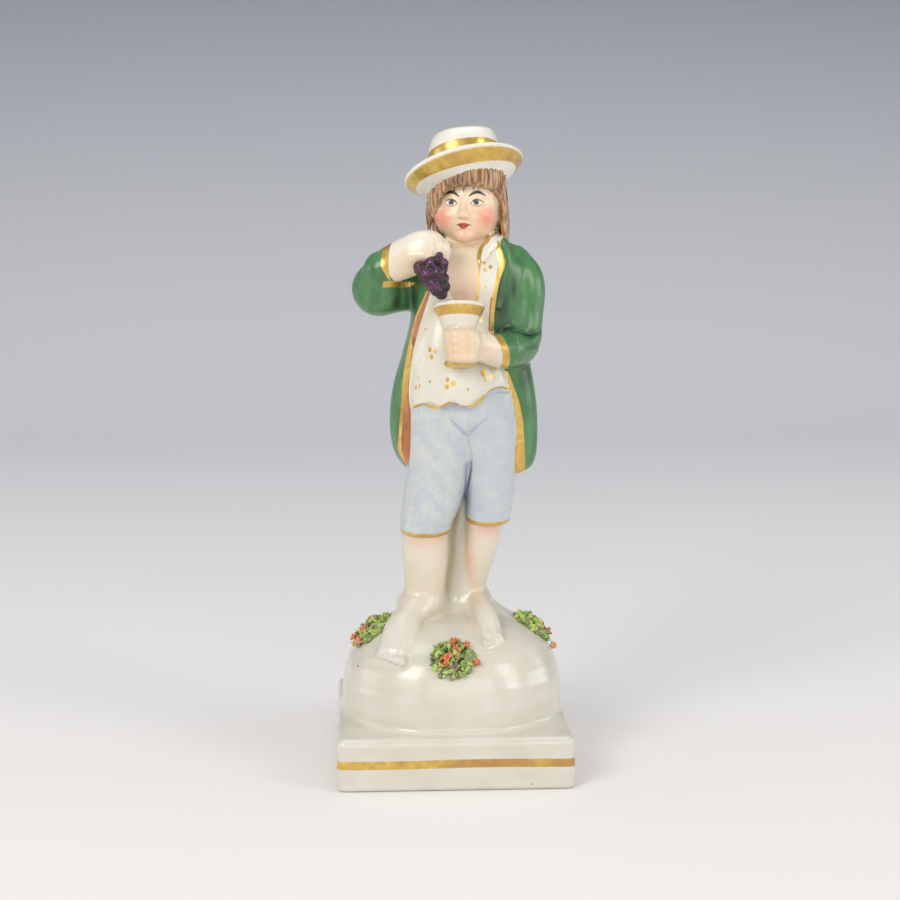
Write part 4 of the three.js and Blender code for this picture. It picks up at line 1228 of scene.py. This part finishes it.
def blue_wash(shade, pooled_glaze_and_shade, streak):
    """The breeches' thin, speckled wash, with painted shade that makes one leg bluer and darker and darkens
    the creases and hollows.
    """
    speckle = shade.math("ADD", shade.noise(3, 4), shade.math("MULTIPLY", shade.noise(0.7, 2), 0.5))
    return shade.layered(
        shade.mix(shade.spread(speckle, 0.6, 0.9), (200, 203, 196), (184, 190, 196)),
        (shade.spread(shade.along("X"), -0.002, 0.008), 0.35, (184, 191, 201)),
        (shade.spread(streak, 0.4, 0.7), 0.2, (180, 190, 208)), (pooled_glaze_and_shade, 0.7, (140, 154, 182)),
        (shade.mask("crease", 0.25, 0.1), 0.6, (132, 142, 170)),
        (shade.mask("seam", 0.12, 0.1), 0.8, (62, 68, 98)))


def thick_green(shade, pooled_glaze_and_shade, ridge_highlight):
    brushed = shade.spread(shade.noise(3.2, 4, (1, 1, 2.5), 0.5), 0.3, 0.7)
    # Darker in the folds, partly pooled glaze and partly painted shade, darker still with painted shade
    # deep in the folds, and lighter on the ridges as a painted highlight
    return shade.layered(
        shade.mix(brushed, (56, 106, 58), (84, 136, 84)), (pooled_glaze_and_shade, 0.85, (34, 80, 42)),
        (shade.value("shade"), 0.95, (14, 46, 22)), (ridge_highlight, 0.55, (146, 184, 142)))


def painted_glaze():
    """The figure's glaze, with its enamels over it, gilt rubbed through to copper brown, painted shade in
    its hollows and painted highlights on its ridges.
    """
    shade = Shade("painted_glaze")
    hollow = shade.value("hollow")
    # Darker where the glaze pools in hollows, partly the glaze itself and partly painted shade in folds and
    # creases; lighter on ridges as a painted highlight
    pooled_glaze_and_shade, ridge_highlight = shade.spread(hollow, 0.03, 0.7), shade.spread(hollow, -0.08, -0.6)
    fine, streak = shade.noise(1.6, 4), shade.noise(2.2, 4, (1, 1, 5), 0.8)
    hands, coat, gold = shade.mask("hands", 0.15), shade.mask("coat"), shade.mask("gold", 0.06, 0.05, 1)
    bare = shade.math("MAXIMUM", shade.mask("skin"), hands)
    lining = shade.mix(shade.spread(streak, 0.35, 0.65), (150, 84, 48), (190, 128, 84))
    patchy = shade.math("ADD", shade.noise(11, 3), shade.math("MULTIPLY", fine, 0.25))
    handled = shade.spread(shade.along("Z"), 0.02, 0.01, 0, 0.1)
    rubbed = shade.spread(shade.math("ADD", patchy, handled), 0.66, 0.8)
    gilt = shade.mix(shade.spread(fine, 0.3, 0.7), (204, 164, 74), (232, 198, 110))
    glaze = bare_clay(shade, pooled_glaze_and_shade)
    shade.give("Base Color", shade.layered(
        glaze, (bare, 1, flesh(shade, glaze, pooled_glaze_and_shade, hands)),
        (shade.mask("hair", 0.1, 0.3, 0.7), 1, brown_hair(shade, pooled_glaze_and_shade)),
        (shade.mask("breeches"), 1, blue_wash(shade, pooled_glaze_and_shade, streak)),
        (coat, 1, thick_green(shade, pooled_glaze_and_shade, ridge_highlight)), (shade.mask("lining"), 1, lining),
        (shade.mask("white", 0.09, 0.02), 1, (240, 238, 228)),
        (shade.mask("iris", 0.09, 0.02), 1, (84, 82, 76)),
        (shade.mask("line", 0.09, 0.02), 1, (186, 116, 84)),
        (shade.mask("red", 0.09, 0.02), 1, (182, 62, 50)),
        (shade.mask("dark", 0.09, 0.02), 1, (52, 40, 38)),
        (gold, 1, shade.layered(gilt, (rubbed, 0.7, (168, 116, 66))))))
    shade.give("Metallic", shade.math("MULTIPLY", gold, shade.spread(rubbed, 0, 1, 0.72, 0.3)))
    # Bare glaze is smoother than 0.27 everywhere, and flesh, green and gilt are rougher everywhere
    thick = shade.math("MAXIMUM", shade.math("MAXIMUM", gold, coat), bare)
    shade.give("Roughness", shade.math("ADD", shade.spread(fine, 0.3, 0.7, 0.19, 0.26),
                                       shade.math("MULTIPLY", thick, 0.1)))
    shade.give("Coat Weight", 0.3)
    shade.give("Coat Roughness", 0.18)
    bump = shade.tree.nodes.new("ShaderNodeBump")
    bump.inputs["Strength"].default_value = 0.3
    bump.inputs["Distance"].default_value = 0.0003
    shade.feed(bump.inputs["Height"], shade.noise(2.4, 3))
    shade.give("Normal", bump.outputs["Normal"])
    return shade.material


def grape_glaze():
    shade = Shade("grape_glaze")
    colour = shade.mix(shade.spread(shade.noise(2, 3), 0.48, 0.68), (44, 26, 34), (112, 48, 96))
    # Darker between the grapes, partly pooled glaze and partly painted shade
    pooled_glaze_and_shade = shade.spread(shade.value("hollow"), 0.05, 0.8)
    shade.give("Base Color", shade.layered(colour, (pooled_glaze_and_shade, 0.8, (20, 10, 16))))
    shade.give("Roughness", shade.spread(shade.noise(0.8, 2), 0.3, 0.7, 0.22, 0.4))
    return shade.material


def spray_glaze():
    shade = Shade("spray_glaze")
    tint = shade.tree.nodes.new("ShaderNodeAttribute")
    tint.attribute_name = "tint"
    fine = shade.spread(shade.noise(0.6, 3), 0.35, 0.7, 0.0, 0.4)
    # Darker between the strands, partly pooled glaze and partly painted shade
    pooled_glaze_and_shade = shade.spread(shade.value("hollow"), 0.15, 0.9, 0.0, 0.85)
    shade.give("Base Color", shade.layered(tint.outputs["Color"], (fine, 1, (236, 228, 160)),
                                           (pooled_glaze_and_shade, 1, (40, 32, 26))))
    shade.give("Roughness", shade.spread(shade.noise(0.7, 2), 0.3, 0.7, 0.25, 0.45))
    return shade.material


# Grapes and sprays
def above_mound(x, y, lift):
    step = 0.1
    slope_x = (mound_surface(x + step, y) - mound_surface(x - step, y)) / (2 * step)
    slope_y = (mound_surface(x, y + step) - mound_surface(x, y - step)) / (2 * step)
    normal = unit(np.array([-slope_x, -slope_y, 1]))
    return np.array([x, y, mound_surface(x, y)]) + normal * lift, normal


def small_piece(name, clay, node, material):
    points, quads = clay.surface()
    piece = new_mesh(name, points, quads)
    piece.data.shade_smooth()
    piece.data.materials.append(material)
    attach(piece, "root")
    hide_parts(node)
    paint = Paint(piece, {"clay": clay, "air": Clay((0, 0, 0), (1, 1, 1), 1)})
    paint.hollows(clay, SMALL_REACHES)
    return piece, paint


def make_grapes():
    low, high = (np.array(corner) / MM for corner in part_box("grape_bunch"))
    clay = Clay(low - 3, high + 3, SMALL_CELL)
    top, bottom = np.array([-5.3, -14.9, 117]), np.array([-2.9, -15.6, 111.9])
    rows = [(0, 7, 2.6), (0.3, 6, 2.3), (0.58, 5, 1.8), (0.82, 4, 1.3), (1, 1, 0)]
    for row, (share, count, spread) in enumerate(rows):
        middle = top + (bottom - top) * share
        for index in range(count):
            angle = index / count * 2 * math.pi + row * 0.9
            size = 1.22 + 0.2 * math.sin(index * 2.1 + row * 1.7)
            centre = middle + np.array([spread * math.cos(angle), spread * 0.6 * math.sin(angle),
                                        0.55 * math.sin(index * 1.9 + row)])
            clay.add(ball(centre, (size * 1.08, size, size), 24), 0.4)
    for x, y, z, size in ((-3.5, -15.2, 119, 1.2), (-2.3, -15, 118.2, 1.1), (-3.2, -14, 119.8, 0.9)):
        clay.add(ball((x, y, z), (size, size, size * 1.1), 24), 0.4)
    clay.add(limb([top + [0.4, 1, 1], bottom], [1.9, 0.8], up=(0, 1, 0)), 0.4)
    _, paint = small_piece("grapes", clay, "grape_bunch", grape_glaze())
    paint.keep()


LEAF, PALE_LEAF, DEEP_LEAF, GREY_LEAF = (112, 158, 58), (168, 196, 92), (74, 112, 46), (128, 120, 90)
ORANGE, ROSE, PURPLE = (202, 76, 40), (218, 126, 100), (108, 56, 86)


# Middles, reaches, seeds and florets of the sprays; a floret has a place, a size and a colour
SPRAYS = {
    "left": ((-18.1, -1.7), (4.2, 5.4), 3, [
        (-21.5, -1.5, 1.3, ORANGE), (-19.4, -3.4, 1.4, ORANGE), (-21, -4.8, 1.2, ROSE),
        (-18, 1.4, 1.2, ORANGE), (-16.8, 0, 1, PURPLE)]),
    "front": ((-0.4, -19.3), (5, 2.8), 5, [
        (-0.3, -17, 1.2, ORANGE), (2.5, -17.8, 1.1, ORANGE), (0.1, -19.1, 1.3, ORANGE),
        (-2.6, -20.4, 1.5, ORANGE), (-1.6, -19.6, 1.2, ORANGE), (4.7, -20.2, 1, ORANGE),
        (0.1, -20.9, 1.1, PURPLE)]),
    "right": ((19.1, 0.7), (3.9, 4.7), 8, [
        (18.2, 1.5, 1.2, PURPLE), (20.4, -0.5, 1.2, ORANGE), (22, 1.5, 1.2, ORANGE),
        (23.7, -0.8, 0.6, ROSE), (19.6, 3, 1.1, PURPLE)]),
}


def make_spray(name, node, material, centre, reach, seed, florets):
    """Shredded clay: short curling strands of leaf over a bed that follows the mound, and florets."""
    random = np.random.default_rng(seed)
    low, high = (np.array(corner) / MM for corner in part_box(node))
    clay = Clay(low - 5, high + 5, SMALL_CELL)
    colours = np.zeros(tuple(clay.shape) + (3,), np.float32)
    colours[:] = DEEP_LEAF
    (x, y), (half_x, half_y) = centre, reach

    def strand(start, end, bend, radius, tint):
        mesh = limb([start, (start + end) / 2 + bend, end], [radius, radius * 1.15, radius * 0.8],
                    up=(0.3, 0.2, 0.9), sides=8, steps=7)
        where, values = clay.block(mesh)
        nearer = values < clay.field[where]
        colours[where][nearer] = tint
        clay.field[where] = soft_min(clay.field[where], values, 0.08)

    def on_spray(lift):
        """A place on the spray; steep ground gets as many as flat ground."""
        while True:
            out, angle = math.sqrt(random.random()), random.random() * 2 * math.pi
            place, normal = above_mound(x + out * half_x * math.cos(angle),
                                        y + out * half_y * math.sin(angle), lift * (1 - 0.7 * out * out))
            if random.random() * normal[2] < 0.4:
                return place, normal

    for _ in range(40):
        clay.add(ball(on_spray(0.5)[0], (0.8, 0.8, 0.8), 12), 0.6)
    for _ in range(int(half_x * half_y * 10)):
        start, normal = on_spray(0.6 + 1.5 * random.random())
        lean = unit(normal * random.uniform(0.1, 0.9) + random.normal(size=3) * 0.6)
        tint = (LEAF, PALE_LEAF, LEAF, GREY_LEAF, PALE_LEAF, DEEP_LEAF)[random.integers(6)]
        strand(start, start + lean * random.uniform(0.4, 0.9), random.normal(size=3) * 0.25,
               random.uniform(0.26, 0.4), tint)
    for place_x, place_y, size, tint in florets:
        middle, normal = above_mound(place_x, place_y, size)
        for _ in range(18):
            start = middle + random.normal(size=3) * size * 0.4
            end = start + unit(random.normal(size=3)) * 0.5 + normal * 0.3
            strand(start, end, normal * 0.1, random.uniform(0.2, 0.3), tint)
    piece, paint = small_piece(name, clay, node, material)
    index = np.clip(np.round(paint.points / clay.cell - clay.low).astype(int), 0, clay.shape - 1)
    shown = colours[index[:, 0], index[:, 1], index[:, 2]]
    tints = np.array([linear(*tint) for tint in shown], np.float32)
    layer = piece.data.attributes.new("tint", "FLOAT_COLOR", "POINT")
    layer.data.foreach_set("color", tints.ravel())
    paint.keep()


# Boxes about the eyes and the mouth, which have the finest lines
FACE_BOXES = [((-2, -12, 129.8), (10, -5, 134.6)), ((1, -12, 125), (6, -5, 128.6))]


def make_painted_figure():
    body, parts = make_figure()
    figure = new_mesh("painted_figure", *body.surface())
    split_finely(figure, FACE_BOXES, 2)
    fine = paint_figure(figure, parts, body)
    thinned(figure, MOST_TRIANGLES, fine)
    figure.data.materials.append(painted_glaze())
    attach(figure, "root")
    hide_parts("figure_and_plinth")


# Camera, floor and light
def make_camera():
    data = bpy.data.cameras.new("camera")
    data.lens = CAMERA_LENS
    data.sensor_width = SENSOR
    data.clip_start = 0.01
    camera = placed("camera", data)
    camera.location = Vector(CAMERA_PLACE) * MM
    camera.rotation_euler = CAMERA_ANGLES
    bpy.context.scene.camera = camera


def make_floor():
    """A pale floor that sweeps up into a backdrop, with painted shade that makes it darker with distance
    and greyer up the backdrop.
    """
    half_width, front, bend, radius, top = 1.6, -1.2, 0.5, 0.35, 1.6
    arc = [(bend + radius * math.sin(a), radius * (1 - math.cos(a)))
           for a in np.radians(np.arange(0, 91, 10))]
    rows = [(front, 0)] + arc + [(bend + radius, top)]
    points = [(x, y, z) for y, z in rows for x in (-half_width, half_width)]
    faces = [(2 * i, 2 * i + 1, 2 * i + 3, 2 * i + 2) for i in range(len(rows) - 1)]
    mesh = bpy.data.meshes.new("floor")
    mesh.from_pydata(points, [], faces)
    mesh.shade_smooth()
    shade = Shade("floor_paper")
    near = shade.mix(shade.noise(300, 2), (234, 231, 229), (238, 235, 232))
    shade.give("Base Color", shade.layered(
        near, (shade.spread(shade.along("Y"), 0, 0.6), 1, (222, 223, 227)),
        (shade.spread(shade.along("Z"), 0, 0.26), 1, (150, 154, 163))))
    shade.give("Roughness", 0.8)
    shade.give("Specular IOR Level", 0.1)
    mesh.materials.append(shade.material)
    placed("floor", mesh)


# Lights: place, aim, width and height in metres, watts and colour
LIGHTS = {
    "softbox_left": ((-0.55, -0.65, 0.6), (0, 0, 0.08), (0.45, 0.45), 4.6, (1, 0.98, 0.95)),
    "softbox_right": ((0.75, -0.5, 0.5), (0, 0, 0.07), (0.35, 0.6), 2.6, (1, 0.99, 0.97)),
    "side_left": ((-0.85, 0.05, 0.2), (0, 0, 0.05), (0.5, 0.3), 0.8, (1, 1, 1)),
    "side_right": ((0.9, 0.05, 0.2), (0, 0, 0.05), (0.5, 0.3), 1.2, (1, 1, 1)),
    "front_fill": ((0.1, -0.95, 0.26), (0, 0, 0.1), (0.7, 0.4), 1.7, (1, 1, 1)),
    "top_light": ((0, 0.1, 0.95), (0, 0, 0.05), (0.9, 0.7), 3.2, (1, 1, 1)),
}


def make_lights():
    for name, (place, aim, size, power, colour) in LIGHTS.items():
        data = bpy.data.lights.new(name, "AREA")
        data.shape = "RECTANGLE"
        data.size, data.size_y = size
        data.energy = power
        data.color = colour
        light = placed(name, data)
        light.location = place
        light.rotation_euler = (Vector(aim) - Vector(place)).to_track_quat("-Z", "Y").to_euler()


def make_sky():
    world = bpy.data.worlds.new("studio")
    bpy.context.scene.world = world
    world.use_nodes = True
    background = world.node_tree.nodes["Background"]
    background.inputs["Color"].default_value = (0.86, 0.88, 0.92, 1)
    background.inputs["Strength"].default_value = 0.34
    bpy.context.scene.view_settings.view_transform = "Standard"


make_camera()
make_floor()
make_lights()
make_sky()
make_painted_figure()
make_grapes()
SPRAY_GLAZE = spray_glaze()
for side, spray in SPRAYS.items():
    make_spray("spray_" + side, "flower_spray_" + side, SPRAY_GLAZE, *spray)
